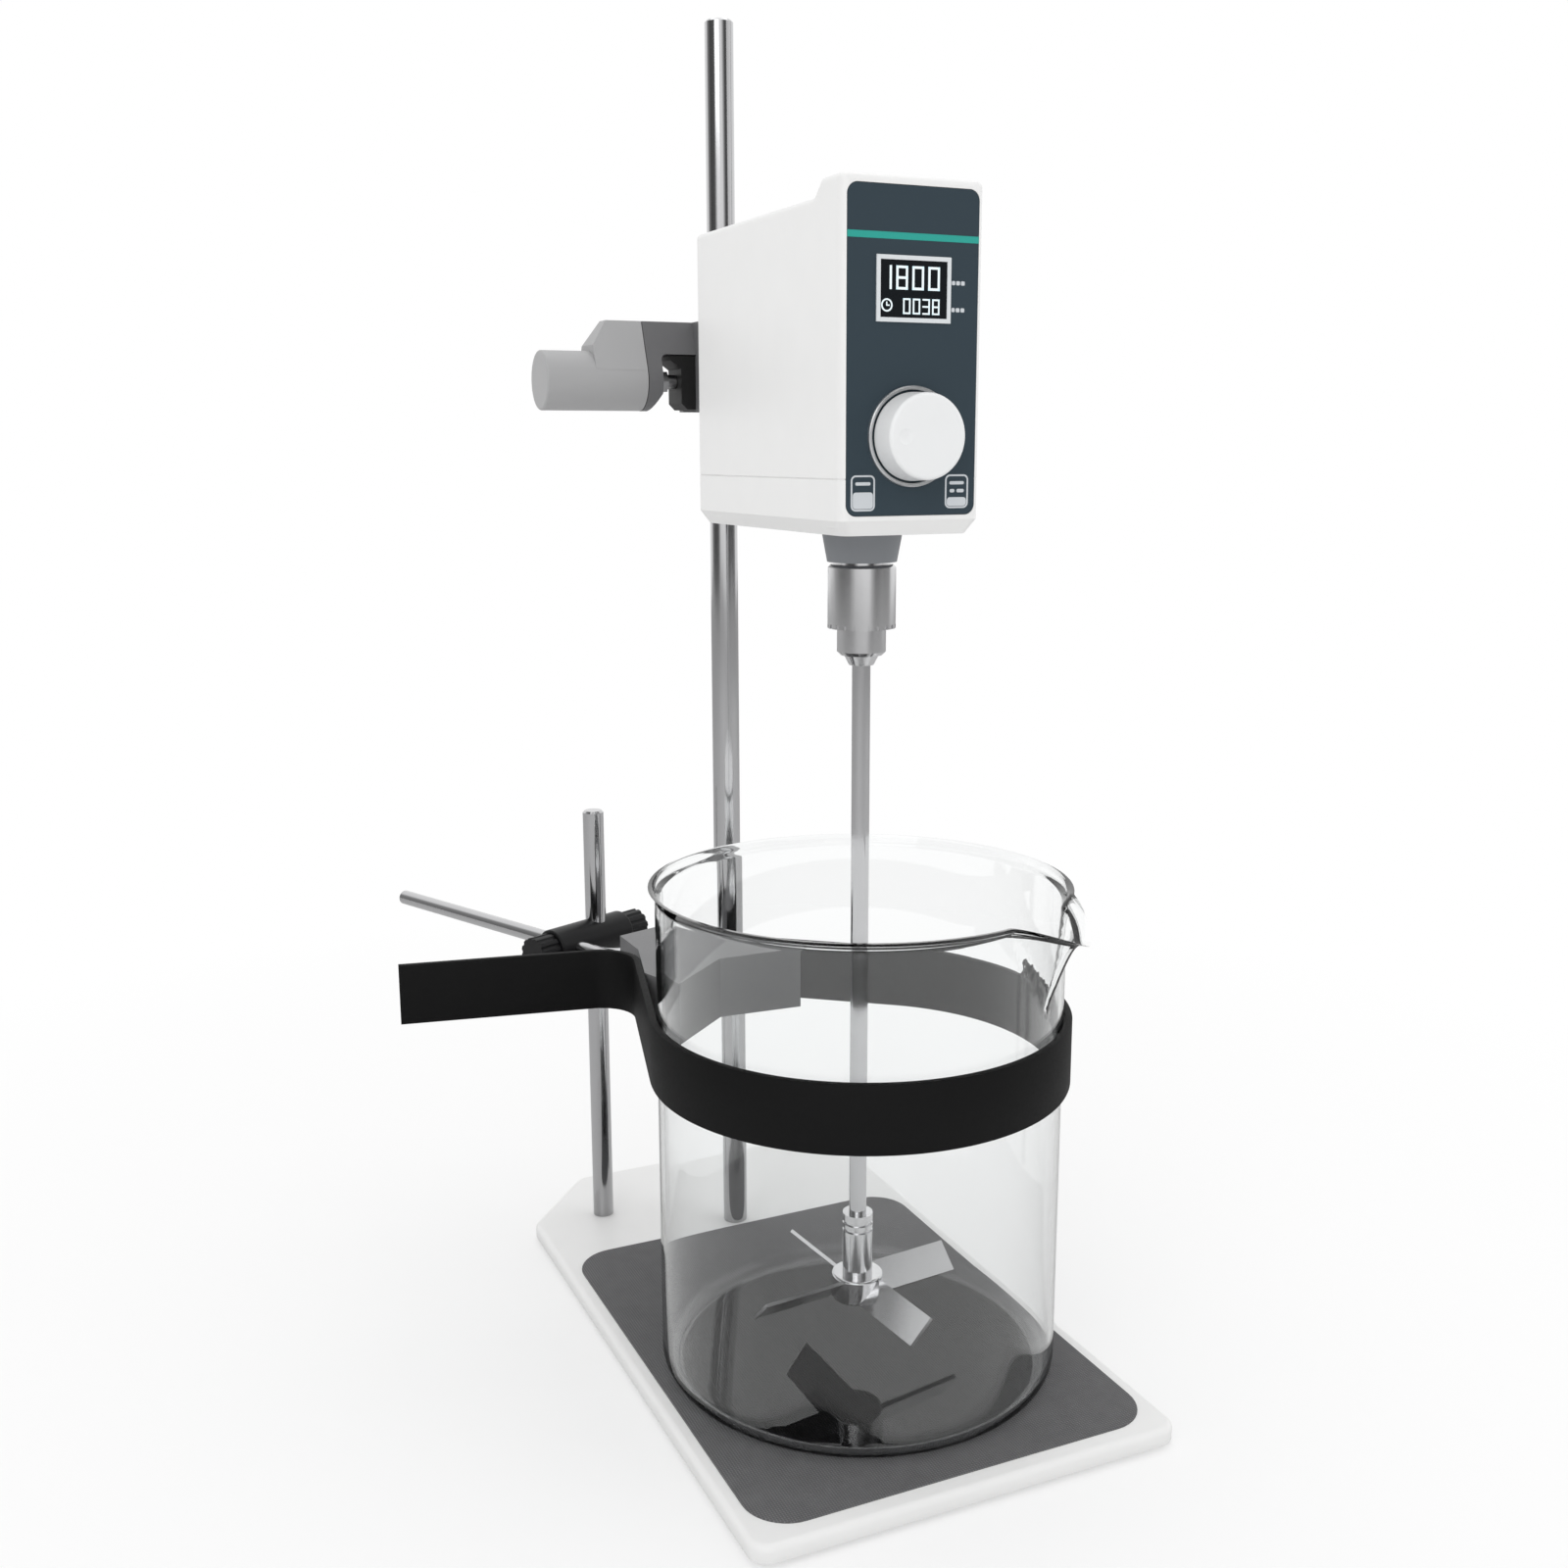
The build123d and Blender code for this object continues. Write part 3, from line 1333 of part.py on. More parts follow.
with BuildPart() as hub_set_screw:
    with Locations(Location((0, spindle_y, grub_z), (0, 0, grub_heading))):
        with Locations((shaft_radius + running_gap, 0, 0)):
            Cylinder(
                grub_radius,
                collar_radius - shaft_radius - seat_gap,
                rotation=(0, 90, 0),
                align=UP,
            )
        with Locations((collar_radius - grub_socket_depth - seat_gap, 0, 0)):
            Cylinder(
                grub_socket,
                grub_socket_depth + seat_gap,
                rotation=(0, 90, 0),
                align=UP,
                mode=Mode.SUBTRACT,
            )
hub_set_screw.part.label = "hub_set_screw"
export_step(hub_set_screw.part, "parts/hub_set_screw.step")


# Power switch and inlet on the rear face

body_width = switch_width - 2 * switch_wall
body_height = switch_height - 2 * switch_wall
with BuildPart() as switch_frame:
    with BuildSketch(Plane.XZ.offset(-rear_y)):
        with Locations((switch_x, socket_z)):
            RectangleRounded(switch_width, switch_height, switch_wall)
    extrude(amount=-switch_bezel)
    with BuildSketch(Plane.XZ.offset(-rear_y)):
        with Locations((switch_x, socket_z)):
            Rectangle(body_width, body_height)
    extrude(amount=switch_depth)
    with BuildSketch(Plane.XZ.offset(-rear_y - switch_bezel)):
        with Locations((switch_x, socket_z)):
            Rectangle(2 * switch_mouth_width, 2 * switch_mouth_half)
    extrude(amount=switch_bezel + switch_depth - switch_back, mode=Mode.SUBTRACT)
    with BuildSketch(Plane.YZ.offset(switch_x)):
        with Locations((rear_y - rocker_pivot_depth, socket_z)):
            Circle(rocker_pin_radius + running_gap)
    extrude(amount=rocker_half_width + rocker_pin_length + running_gap, both=True, mode=Mode.SUBTRACT)
switch_frame.part.label = "switch_frame"
export_step(switch_frame.part, "parts/switch_frame.step")

tilt = radians(rocker_throw)
rocker_plane = Plane(
    (switch_x, rear_y - rocker_pivot_depth, socket_z),
    x_dir=(0, cos(tilt), sin(tilt)),
    z_dir=(1, 0, 0),
)
with BuildPart() as switch_rocker:
    with BuildSketch(rocker_plane):
        Polygon(
            (-rocker_tail, -rocker_tail_half),
            (rocker_tail / 2, -rocker_half),
            (rocker_crest, -rocker_half),
            (rocker_waist, 0),
            (rocker_crest, rocker_half),
            (rocker_tail / 2, rocker_half),
            (-rocker_tail, rocker_tail_half),
            align=None,
        )
    extrude(amount=rocker_half_width, both=True)
    with BuildSketch(rocker_plane):
        Circle(rocker_pin_radius)
    extrude(amount=rocker_half_width + rocker_pin_length, both=True)
switch_rocker.part.label = "switch_rocker"
export_step(switch_rocker.part, "parts/switch_rocker.step")

with BuildPart() as power_jack:
    with BuildSketch(Plane.XZ.offset(-rear_y)):
        with Locations((jack_x, socket_z)):
            Circle(jack_nut_radius)
    extrude(amount=-jack_nut_height)
    chamfer(power_jack.faces().sort_by(Axis.Y)[-1].edges(), base_break)
    with BuildSketch(Plane.XZ.offset(-rear_y)):
        with Locations((jack_x, socket_z)):
            Circle(jack_radius)
    extrude(amount=jack_depth)
    with BuildSketch(Plane.XZ.offset(-rear_y - jack_nut_height)):
        with Locations((jack_x, socket_z)):
            Circle(jack_hole)
            Circle(jack_pin_radius, mode=Mode.SUBTRACT)
    extrude(amount=jack_nut_height + jack_depth - jack_floor, mode=Mode.SUBTRACT)
power_jack.part.label = "power_jack"
export_step(power_jack.part, "parts/power_jack.step")


# Vessel clamp on the support rod

clamp_bearing = atan2(support_y - spindle_y, support_x)
clamp_plane = Plane(
    (0, spindle_y, strap_bottom),
    x_dir=(cos(clamp_bearing), sin(clamp_bearing), 0),
    z_dir=(0, 0, 1),
)
strap_inner = beaker_radius + seat_gap
vee_side = strap_inner - press_gap
strap_middle = strap_inner + strap_thickness / 2
leave_x = cos(radians(strap_leave))
leave_y = sin(radians(strap_leave))
touch_x = strap_middle * leave_x
touch_y = strap_middle * leave_y
waist_run = (touch_y - vee_waist_half) / leave_x
strap_run = waist_run - strap_bend_gap
anchor_run = waist_run - strap_end_gap
vee_rear = hypot(support_x, support_y - spindle_y) - vee_rear_gap
tail_x = touch_x + strap_run * leave_y
tail_y = touch_y - strap_run * leave_x
with BuildPart() as strap:
    with BuildSketch(clamp_plane):
        with BuildLine():
            Line(
                (touch_x + anchor_run * leave_y, -touch_y + anchor_run * leave_x),
                (touch_x, -touch_y),
            )
            CenterArc((0, 0), strap_middle, -strap_leave, -360 + 2 * strap_leave)
            Line((touch_x, touch_y), (tail_x, tail_y))
            bend = CenterArc(
                (tail_x + strap_bend * leave_x, tail_y + strap_bend * leave_y),
                strap_bend,
                strap_leave + 180,
                strap_bend_turn,
            )
            Line(bend @ 1, bend @ 1 + strap_tail * (bend % 1))
        trace(line_width=strap_thickness)
    extrude(amount=strap_height)
strap.part.label = "strap"
export_step(strap.part, "parts/strap.step")


def on_line(distance, angle, y):
    """The x of the line at this distance and angle from the beaker's axis, at height y."""
    return (distance - y * sin(radians(angle))) / cos(radians(angle))


rod_turn = radians(clamp_rod_side)
rod_heading = Vector(sin(rod_turn), -cos(rod_turn), 0)
boss_heading = Vector(-cos(rod_turn), -sin(rod_turn), 0)
boss_middle = Vector(support_x, support_y, clamp_rod_z)
cross_spot = boss_middle + boss_heading * clamp_rod_offset
rod_start = cross_spot - rod_heading * clamp_rod_back
with BuildPart() as clamp_rod:
    with BuildLine():
        Line(rod_start, cross_spot + rod_heading * clamp_rod_front)
        rod_bend = JernArc(
            cross_spot + rod_heading * clamp_rod_front,
            rod_heading,
            clamp_rod_bend,
            clamp_rod_turn,
        )
        Line(rod_bend @ 1, rod_bend @ 1 + clamp_rod_end * (rod_bend % 1))
    with BuildSketch(Plane(rod_start, z_dir=rod_heading)):
        Circle(clamp_rod_radius)
    sweep()
    chamfer(clamp_rod.faces().sort_by(Axis.Y)[-1].edges(), rod_chamfer)
clamp_rod.part.label = "clamp_rod"
export_step(clamp_rod.part, "parts/clamp_rod.step")

with BuildPart() as strap_bracket:
    with BuildSketch(clamp_plane):
        Polygon(
            (strap_inner / cos(radians(contact_angle)), 0),
            (on_line(strap_inner, contact_angle, vee_tip_half), vee_tip_half),
            (on_line(vee_side, strap_leave, vee_tip_half), vee_tip_half),
            (on_line(vee_side, strap_leave, vee_waist_half), vee_waist_half),
            (vee_rear, vee_rear_half),
            (vee_rear, -vee_rear_half),
            (on_line(vee_side, strap_leave, vee_waist_half), -vee_waist_half),
            (on_line(vee_side, strap_leave, vee_tip_half), -vee_tip_half),
            (on_line(strap_inner, contact_angle, vee_tip_half), -vee_tip_half),
            align=None,
        )
    extrude(amount=strap_height)
    with Locations(Plane(rod_bend @ 1 + clamp_rod_end * (rod_bend % 1), z_dir=-(rod_bend % 1))):
        Cylinder(
            clamp_rod_radius + press_gap,
            clamp_rod_end + clamp_rod_bend,
            align=UP,
            mode=Mode.SUBTRACT,
        )
strap_bracket.part.label = "strap_bracket"
export_step(strap_bracket.part, "parts/strap_bracket.step")

boss_axis = Plane(boss_middle, x_dir=(0, 0, 1), z_dir=boss_heading)
with BuildPart() as boss_head:
    with BuildSketch(boss_axis.offset(-boss_right)):
        Circle(boss_radius)
    extrude(amount=boss_right + boss_left)
    fillet(boss_head.edges().filter_by(GeomType.CIRCLE), boss_edge)
    with Locations(boss_middle):
        Cylinder(support_rod_radius + running_gap, 3 * boss_radius, mode=Mode.SUBTRACT)
    with Locations(Plane(cross_spot, z_dir=rod_heading)):
        Cylinder(clamp_rod_radius + running_gap, 3 * boss_radius, mode=Mode.SUBTRACT)
    with BuildSketch(boss_axis.offset(-boss_right)):
        Circle(thumb_screw_radius + running_gap)
    extrude(amount=boss_right, mode=Mode.SUBTRACT)
    with BuildSketch(boss_axis.offset(boss_left)):
        Circle(thumb_screw_radius + running_gap)
    extrude(amount=clamp_rod_offset - boss_left, mode=Mode.SUBTRACT)
boss_head.part.label = "boss_head"
export_step(boss_head.part, "parts/boss_head.step")

thumb_right = -boss_right - seat_gap
with BuildPart() as support_thumbscrew:
    with BuildSketch(boss_axis.offset(thumb_right)):
        Circle(thumb_radius)
        with PolarLocations(thumb_radius + thumb_flute_radius / 2, thumb_flutes):
            Circle(thumb_flute_radius, mode=Mode.SUBTRACT)
    extrude(amount=-thumb_length)
    with BuildSketch(boss_axis.offset(thumb_right)):
        Circle(thumb_screw_radius)
    extrude(amount=-thumb_right - support_rod_radius - seat_gap)
support_thumbscrew.part.label = "support_thumbscrew"
export_step(support_thumbscrew.part, "parts/support_thumbscrew.step")

thumb_left = boss_left + seat_gap
with BuildPart() as rod_thumbscrew:
    with BuildSketch(boss_axis.offset(thumb_left)):
        Circle(thumb_radius)
        with PolarLocations(thumb_radius + thumb_flute_radius / 2, thumb_flutes):
            Circle(thumb_flute_radius, mode=Mode.SUBTRACT)
    extrude(amount=thumb_length)
    with BuildSketch(boss_axis.offset(thumb_left)):
        Circle(thumb_screw_radius)
    extrude(amount=clamp_rod_offset + clamp_rod_radius + seat_gap - thumb_left)
rod_thumbscrew.part.label = "rod_thumbscrew"
export_step(rod_thumbscrew.part, "parts/rod_thumbscrew.step")
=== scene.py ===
# %% [markdown]
# # Overhead stirrer over a clamped beaker
#
# A white drive head hangs on a tall rod by a grey clamp and turns a steel shaft in its chuck.
# The shaft's impeller stands in a glass beaker, and a black strap holds the beaker to a short rod.
# The frame comes in first: it gives each piece its place and the body it moves with.

# %% Load the frame
from math import atan2, cos, hypot, pi, radians, sin, tan

import bmesh
import bpy
from mathutils import Matrix, Vector


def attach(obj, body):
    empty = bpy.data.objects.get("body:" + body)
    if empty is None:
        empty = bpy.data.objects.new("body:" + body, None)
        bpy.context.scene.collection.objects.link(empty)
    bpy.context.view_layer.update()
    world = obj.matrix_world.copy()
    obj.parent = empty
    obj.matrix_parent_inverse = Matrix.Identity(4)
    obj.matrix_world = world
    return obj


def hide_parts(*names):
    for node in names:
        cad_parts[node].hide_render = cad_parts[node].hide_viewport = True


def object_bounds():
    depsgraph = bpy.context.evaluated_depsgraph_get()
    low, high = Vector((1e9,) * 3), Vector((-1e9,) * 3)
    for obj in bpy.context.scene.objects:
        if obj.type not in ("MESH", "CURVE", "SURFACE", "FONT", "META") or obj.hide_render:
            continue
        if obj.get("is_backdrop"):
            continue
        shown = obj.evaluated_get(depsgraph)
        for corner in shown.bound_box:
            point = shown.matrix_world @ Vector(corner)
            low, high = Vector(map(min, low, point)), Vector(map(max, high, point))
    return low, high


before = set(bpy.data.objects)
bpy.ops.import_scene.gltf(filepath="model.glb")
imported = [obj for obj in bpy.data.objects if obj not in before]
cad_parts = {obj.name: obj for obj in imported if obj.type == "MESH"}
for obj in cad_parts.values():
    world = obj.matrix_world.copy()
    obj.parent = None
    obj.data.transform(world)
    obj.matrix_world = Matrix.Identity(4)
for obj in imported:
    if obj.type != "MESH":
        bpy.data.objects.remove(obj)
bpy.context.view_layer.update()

# %% [markdown]
# ## Camera
#
# The camera stands to the front left and looks slightly down. The picture is square. A tracking
# constraint could aim it, but three plain turns are exact: a heading, a pitch and a trace of roll.

# %% Place the camera
camera_spot = (-0.32513, -0.78844, 0.42924)
heading, pitch, roll = radians(24.456), radians(11.495), radians(-0.164)

scene = bpy.context.scene
camera = bpy.data.objects.new("camera", bpy.data.cameras.new("camera"))
scene.collection.objects.link(camera)
camera.data.sensor_width = 36.0
camera.data.lens = 37.8
camera.data.clip_start = 0.05
camera.data.clip_end = 20.0
aim = Matrix.Rotation(-heading, 4, "Z") @ Matrix.Rotation(pi / 2 - pitch, 4, "X")
camera.matrix_world = Matrix.Translation(camera_spot) @ aim @ Matrix.Rotation(roll, 4, "Z")
scene.camera = camera
print("camera", [round(v, 3) for v in camera.location])

# %% [markdown]
# ## Shader arithmetic
#
# A shader can be wired node by node, but a formula is easier to read. A Value is one output of a
# node, and adding or multiplying Values makes the maths nodes. A Tree makes a node with its inputs
# already plugged in. A Look is the tree of a material, round its Principled shader.


# %% Arithmetic on shader sockets
class Value:
    """One output socket of a shader node."""

    def __init__(self, home, socket):
        self.home = home
        self.socket = socket

    def __add__(self, other):
        return self.home.maths("ADD", self, other)

    __radd__ = __add__

    def __mul__(self, other):
        return self.home.maths("MULTIPLY", self, other)

    def __sub__(self, other):
        return self.home.maths("SUBTRACT", self, other)

    def __rsub__(self, other):
        return self.home.maths("SUBTRACT", other, self)


class Tree:
    """A node tree whose nodes are made with their inputs plugged in."""

    def __init__(self, tree):
        self.tree = tree

    def node(self, kind, inputs, output=0, **settings):
        made = self.tree.nodes.new("ShaderNode" + kind)
        for key, value in settings.items():
            setattr(made, key, value)
        for key, value in inputs.items():
            if isinstance(value, Value):
                self.tree.links.new(value.socket, made.inputs[key])
            else:
                made.inputs[key].default_value = value
        return Value(self, made.outputs[output])

    def maths(self, operation, a, b, clamped=False):
        return self.node("Math", {0: a, 1: b}, operation=operation, use_clamp=clamped)

    def blend(self, factor, a, b):
        return self.node("MixShader", {0: factor, 1: a, 2: b})

    def start(self):
        """Empties the tree, for a shader that is built from nothing."""
        self.tree.nodes.clear()

    def end(self, kind, surface):
        made = self.tree.nodes.new("ShaderNode" + kind)
        self.tree.links.new(surface.socket, made.inputs["Surface"])


class Look(Tree):
    """A material with constants and patterns on the sockets of its Principled shader."""

    def __init__(self, name, slot, **constants):
        self.material = bpy.data.materials.new(name)
        self.material.use_nodes = True
        super().__init__(self.material.node_tree)
        self.slot = slot
        self.shader = self.tree.nodes["Principled BSDF"]
        for key, value in constants.items():
            self.shader.inputs[key.replace("_", " ")].default_value = value

    def place(self, stretch=(1, 1, 1)):
        spot = self.node("TexCoord", {}, "Object")
        return self.node("Mapping", {"Vector": spot, "Scale": stretch})

    def noise(self, scale, detail=2.0, stretch=(1, 1, 1)):
        inputs = {"Vector": self.place(stretch), "Scale": scale, "Detail": detail}
        return self.node("TexNoise", inputs, "Fac")

    def wave(self, scale, bands):
        inputs = {"Vector": self.place(), "Scale": scale}
        return self.node("TexWave", inputs, "Fac", bands_direction=bands)

    def mix(self, factor, a, b):
        return self.node("Mix", {0: factor, 6: (*a, 1), 7: (*b, 1)}, 2, data_type="RGBA")

    def around(self, middle, pattern, spread):
        """A value that a pattern moves up and down by half the spread."""
        return middle + (pattern - 0.5) * spread

    def feed(self, key, value):
        self.tree.links.new(value.socket, self.shader.inputs[key])

    def relief(self, height, depth, strength=1.0):
        inputs = {"Height": height, "Distance": depth, "Strength": strength}
        self.feed("Normal", self.node("Bump", inputs, "Normal"))


def grey(level):
    """A grey with full alpha, for a colour socket."""
    return (level, level, level, 1)


print("white is", grey(1))

# %% [markdown]
# ## Light
#
# The room is white for the eye and for what is seen through glass. An even white room would leave
# polished metal without form, so metal sees a dark band on either side of the camera instead.
# That band draws the stripes on the rods. All other light from the room is a soft grey.

# %% Build the room's light
ROOM_LEVEL = 0.86
# Each pair says how far a direction points towards the camera, from 0 to 1, and how bright it is.
BAND = ((0.30, 0.95), (0.40, 0.30), (0.62, 0.08), (0.86, 0.10), (0.93, 0.55), (0.96, 1.0))

scene.view_settings.view_transform = "Standard"
world = bpy.data.worlds.new("room")
scene.world = world
world.use_nodes = True
room = Tree(world.node_tree)
room.start()

toward_camera = Vector((-sin(heading), -cos(heading), 0))
direction = room.node("TexCoord", {}, "Generated")
facing = room.node("VectorMath", {0: direction, 1: toward_camera}, "Value", operation="DOT_PRODUCT")
stripes = room.node("ValToRGB", {"Fac": room.node("MapRange", {"Value": facing, "From Min": -1.0})})
ramp = stripes.socket.node.color_ramp
ramp.elements[0].color = grey(1)
for position, level in BAND:
    ramp.elements.new(position).color = grey(level)

camera_ray = room.node("LightPath", {}, "Is Camera Ray")
glass_ray = room.node("LightPath", {}, "Is Transmission Ray")
mirrored = room.maths("MINIMUM", room.node("LightPath", {}, "Glossy Depth"), 1.0)
clear = room.maths("MAXIMUM", camera_ray, glass_ray)
direct = room.maths("SUBTRACT", clear, mirrored, clamped=True)
soft = room.node("Background", {"Color": grey(ROOM_LEVEL)})
mirror = room.node("Background", {"Color": stripes})
seen = room.node("Background", {"Color": grey(1)})
room.end("OutputWorld", room.blend(direct, room.blend(mirrored, soft, mirror), seen))
print("room nodes", len(room.tree.nodes))

# %% [markdown]
# Three large lamps give the sides of the white head their slightly different greys. Area lamps are
# used because their shadows have soft edges, as in a studio.

# %% Hang the lamps
for name, spot, target, size, watts in (
    ("key", (-1.3, -1.5, 1.6), (0, -0.1, 0.35), 1.4, 9.0),
    ("fill", (1.6, -1.0, 1.1), (0, -0.1, 0.35), 1.4, 4.0),
    ("top", (0.1, 0.2, 2.2), (0, -0.1, 0.4), 1.6, 7.0),
):
    lamp = bpy.data.objects.new(name, bpy.data.lights.new(name, "AREA"))
    scene.collection.objects.link(lamp)
    lamp.data.size = size
    lamp.data.energy = watts
    lamp.location = spot
    lamp.rotation_mode = "QUATERNION"
    lamp.rotation_quaternion = (Vector(target) - Vector(spot)).to_track_quat("-Z", "Y")
    print("lamp", name, watts, "W")

# %% [markdown]
# The bench top is plain and pale. Near the stirrer it takes the shadow. Further out it fades into the
# white of the room, so that no horizon crosses the picture. A curved backdrop would do the same, but
# one flat face and a shader that grows whiter with distance are simpler.

# %% Lay the bench top
bench_half = 4
bench_spot = (-0.04, -0.06, -0.0003)
fade_start, fade_end = 0.15, 0.75
nearest_white = 0.45

corners = [(x * bench_half, y * bench_half, 0) for x, y in ((-1, -1), (1, -1), (1, 1), (-1, 1))]
bench_mesh = bpy.data.meshes.new("bench_top")
bench_mesh.from_pydata(corners, [], [(0, 1, 2, 3)])
bench = bpy.data.objects.new("bench_top", bench_mesh)
bench.location = bench_spot
scene.collection.objects.link(bench)

bench_paint = bpy.data.materials.new("pale_bench")
bench_paint.use_nodes = True
pale = Tree(bench_paint.node_tree)
pale.start()
distance = pale.node("VectorMath", {0: pale.node("TexCoord", {}, "Object")}, "Value", operation="LENGTH")
fade_inputs = {"From Min": fade_start, "From Max": fade_end, "To Min": nearest_white}
fade = pale.node("MapRange", {"Value": distance, **fade_inputs})
camera_ray = pale.node("LightPath", {}, "Is Camera Ray")
glass_ray = pale.node("LightPath", {}, "Is Transmission Ray")
matt = pale.node("BsdfDiffuse", {"Color": grey(0.88)})
white = pale.node("Emission", {"Strength": 1.0})
share = fade * pale.maths("MAXIMUM", camera_ray, glass_ray)
pale.end("OutputMaterial", pale.blend(share, matt, white))
bench_mesh.materials.append(bench_paint)
bench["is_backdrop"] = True
print("bench top", round(bench.location.z * 1000, 2), "mm")

# %% [markdown]
# ## Finishes
#
# No real surface has one even colour. Each finish starts from a few constants and gets a faint cloud
# in its colour and a fine grain in its gloss and relief, from noise on object coordinates. Object
# coordinates need no unwrapping and stay with a piece when it moves.


# %% Families of finishes
def darker(colour, factor):
    """The colour with each channel times the factor."""
    return tuple(channel * factor for channel in colour)


def moulded(name, slot, colour, rough, grain=900.0, gloss=0.5):
    """Paint, plastic or rubber."""
    look = Look(name, slot, Specular_IOR_Level=gloss)
    cloud = look.noise(scale=60.0, detail=3.0)
    fine = look.noise(grain)
    look.feed("Base Color", look.mix(cloud, darker(colour, factor=0.97), colour))
    look.feed("Roughness", look.around(rough, fine, spread=0.12))
    look.relief(fine, depth=0.00004, strength=0.4)
    return look


def steel(name, slot, colour, rough, stretch=(1, 1, 1)):
    """Bare metal. A stretched grain reads as a drawn or turned surface."""
    look = Look(name, slot, Metallic=1.0)
    fine = look.noise(scale=700.0, stretch=stretch)
    cloud = look.noise(scale=40.0)
    look.feed("Base Color", look.mix(cloud, darker(colour, factor=0.93), colour))
    look.feed("Roughness", look.around(rough, fine, spread=0.06))
    look.relief(fine, depth=0.00001, strength=0.25)
    return look


print("a darker white", darker((1, 1, 1), factor=0.97))

# %% [markdown]
# The housing and the stand are painted or moulded white. The panel is a blue grey with one teal
# stripe. The clamps are grey and black.

# %% Painted and moulded finishes
base_paint = moulded("white_powder_paint", "base_paint", (0.84, 0.84, 0.835), 0.42, 1500.0)
foot_rubber = moulded("foot_rubber", "foot_rubber", (0.03, 0.03, 0.03), 0.8)
housing_white = moulded("white_housing", "housing_white", (0.84, 0.84, 0.835), 0.38, 1200.0)
panel_blue = moulded("blue_grey_panel", "panel_blue", (0.030, 0.050, 0.066), 0.45, 1500.0, 0.35)
stripe_teal = moulded("teal_stripe", "stripe_teal", (0.015, 0.36, 0.30), 0.4)
knob_white = moulded("white_knob", "knob_white", (0.83, 0.84, 0.845), 0.35, 1200.0)
liner_black = moulded("black_sleeve", "liner_black", (0.012, 0.012, 0.012), 0.5)
clamp_grey = moulded("grey_clamp_paint", "clamp_grey", (0.145, 0.145, 0.15), 0.5, 1500.0)
lever_grey = moulded("grey_clamp_knob", "lever_grey", (0.40, 0.40, 0.405), 0.5, 1500.0)
boss_grey = moulded("grey_spindle_boss", "boss_grey", (0.2, 0.21, 0.225), 0.45, 1500.0)
switch_black = moulded("black_switch", "switch_black", (0.015, 0.015, 0.016), 0.35)
encoder_black = moulded("black_nylon", "encoder_black", (0.03, 0.03, 0.032), 0.5)
board_green = moulded("green_board", "board_green", (0.02, 0.12, 0.05), 0.5)
bracket_grey = moulded("cast_bracket", "bracket_grey", (0.2, 0.2, 0.205), 0.5, 600.0)
boss_black = moulded("black_boss_head", "boss_black", (0.010, 0.010, 0.011), 0.4, 800.0, 0.3)
thumb_black = moulded("black_thumbscrews", "thumb_black", (0.010, 0.010, 0.011), 0.4, 900.0, 0.3)
strap_rubber = moulded("black_strap", "strap_rubber", (0.006, 0.006, 0.0062), 0.6, 700.0, 0.15)
frame_grey = moulded("display_border", "display_border", (0.70, 0.73, 0.75), 0.4)
print_grey = moulded("panel_print", "display_border", (0.60, 0.63, 0.66), 0.5)
screen_black = moulded("display_glass", "display_black", (0.008, 0.01, 0.012), 0.12, 300.0)
print("moulded finishes up to", screen_black.material.name)

# %% [markdown]
# The rods are polished along their length, and the chuck shows the fine rings of a lathe. The other
# metals differ only in colour and gloss.

# %% Metal finishes
drawn, ringed = (1, 1, 0.05), (0.2, 0.2, 6)
polished = steel("polished_steel", "polished_steel", (0.62, 0.62, 0.63), 0.12, drawn)
turned_steel = steel("turned_steel", "chuck_steel", (0.74, 0.74, 0.75), 0.17, ringed)
screw_steel = steel("zinc_screws", "screw_steel", (0.5, 0.5, 0.51), 0.3)
mount_aluminium = steel("milled_aluminium", "mount_aluminium", (0.6, 0.6, 0.61), 0.35)
motor_iron = steel("motor_iron", "motor_iron", (0.2, 0.2, 0.21), 0.5)
bearing_steel = steel("bearing_steel", "bearing_steel", (0.6, 0.6, 0.61), 0.22)
chrome = steel("chrome_ring", "ring_chrome", (0.92, 0.93, 0.94), 0.38)
print("finishes", len(bpy.data.materials))

# %% [markdown]
# The mat is a fine weave. Two waves cross, and their product is high where two threads meet.
# Modelled threads would cost far too many faces, so the weave is in the colour and the relief. The
# colour is painted shade between the threads and painted light where they cross, with a random tone.

# %% Weave of the mat
thread_scale = 260.0
# The grey of the painted shade in the gaps, and the grey of the painted light on the crossings.
weave_shade_colour, weave_lit_colour = (0.085, 0.085, 0.088), (0.2, 0.2, 0.205)

mat_weave = Look("woven_mat", "mat_rubber")
threads = mat_weave.wave(thread_scale, "X") * mat_weave.wave(thread_scale, "Y")
# The thread pattern paints shade into the gaps and light onto the crossings; the noise adds a random
# tone.
weave_shade_and_tone = threads * 0.7 + mat_weave.noise(scale=120.0, detail=4.0) * 0.3
mat_weave.feed("Base Color", mat_weave.mix(weave_shade_and_tone, weave_shade_colour, weave_lit_colour))
mat_weave.feed("Roughness", 0.85 - threads * 0.15)
mat_weave.relief(threads, depth=0.0003, strength=0.6)
print("weave nodes", len(mat_weave.tree.nodes))

# %% [markdown]
# The beaker is clear borosilicate glass, which bends light a little less than window glass. Its
# wall is a real wall with two faces, so the shader needs no trick to look thin.

# %% Clear glass of the beaker
glass = Look("beaker_glass", "beaker_glass", Transmission_Weight=1.0, IOR=1.46)
ripple = glass.noise(scale=14.0, detail=1.0, stretch=(1, 1, 0.3))
glass.feed("Base Color", glass.mix(ripple, (0.965, 0.975, 0.975), (0.99, 0.995, 0.995)))
glass.feed("Roughness", ripple * 0.01)
print("glass nodes", len(glass.tree.nodes))

# %% [markdown]
# The digits glow a cool white. A weak emission over a light base colour keeps them readable without
# lighting the screen around them.

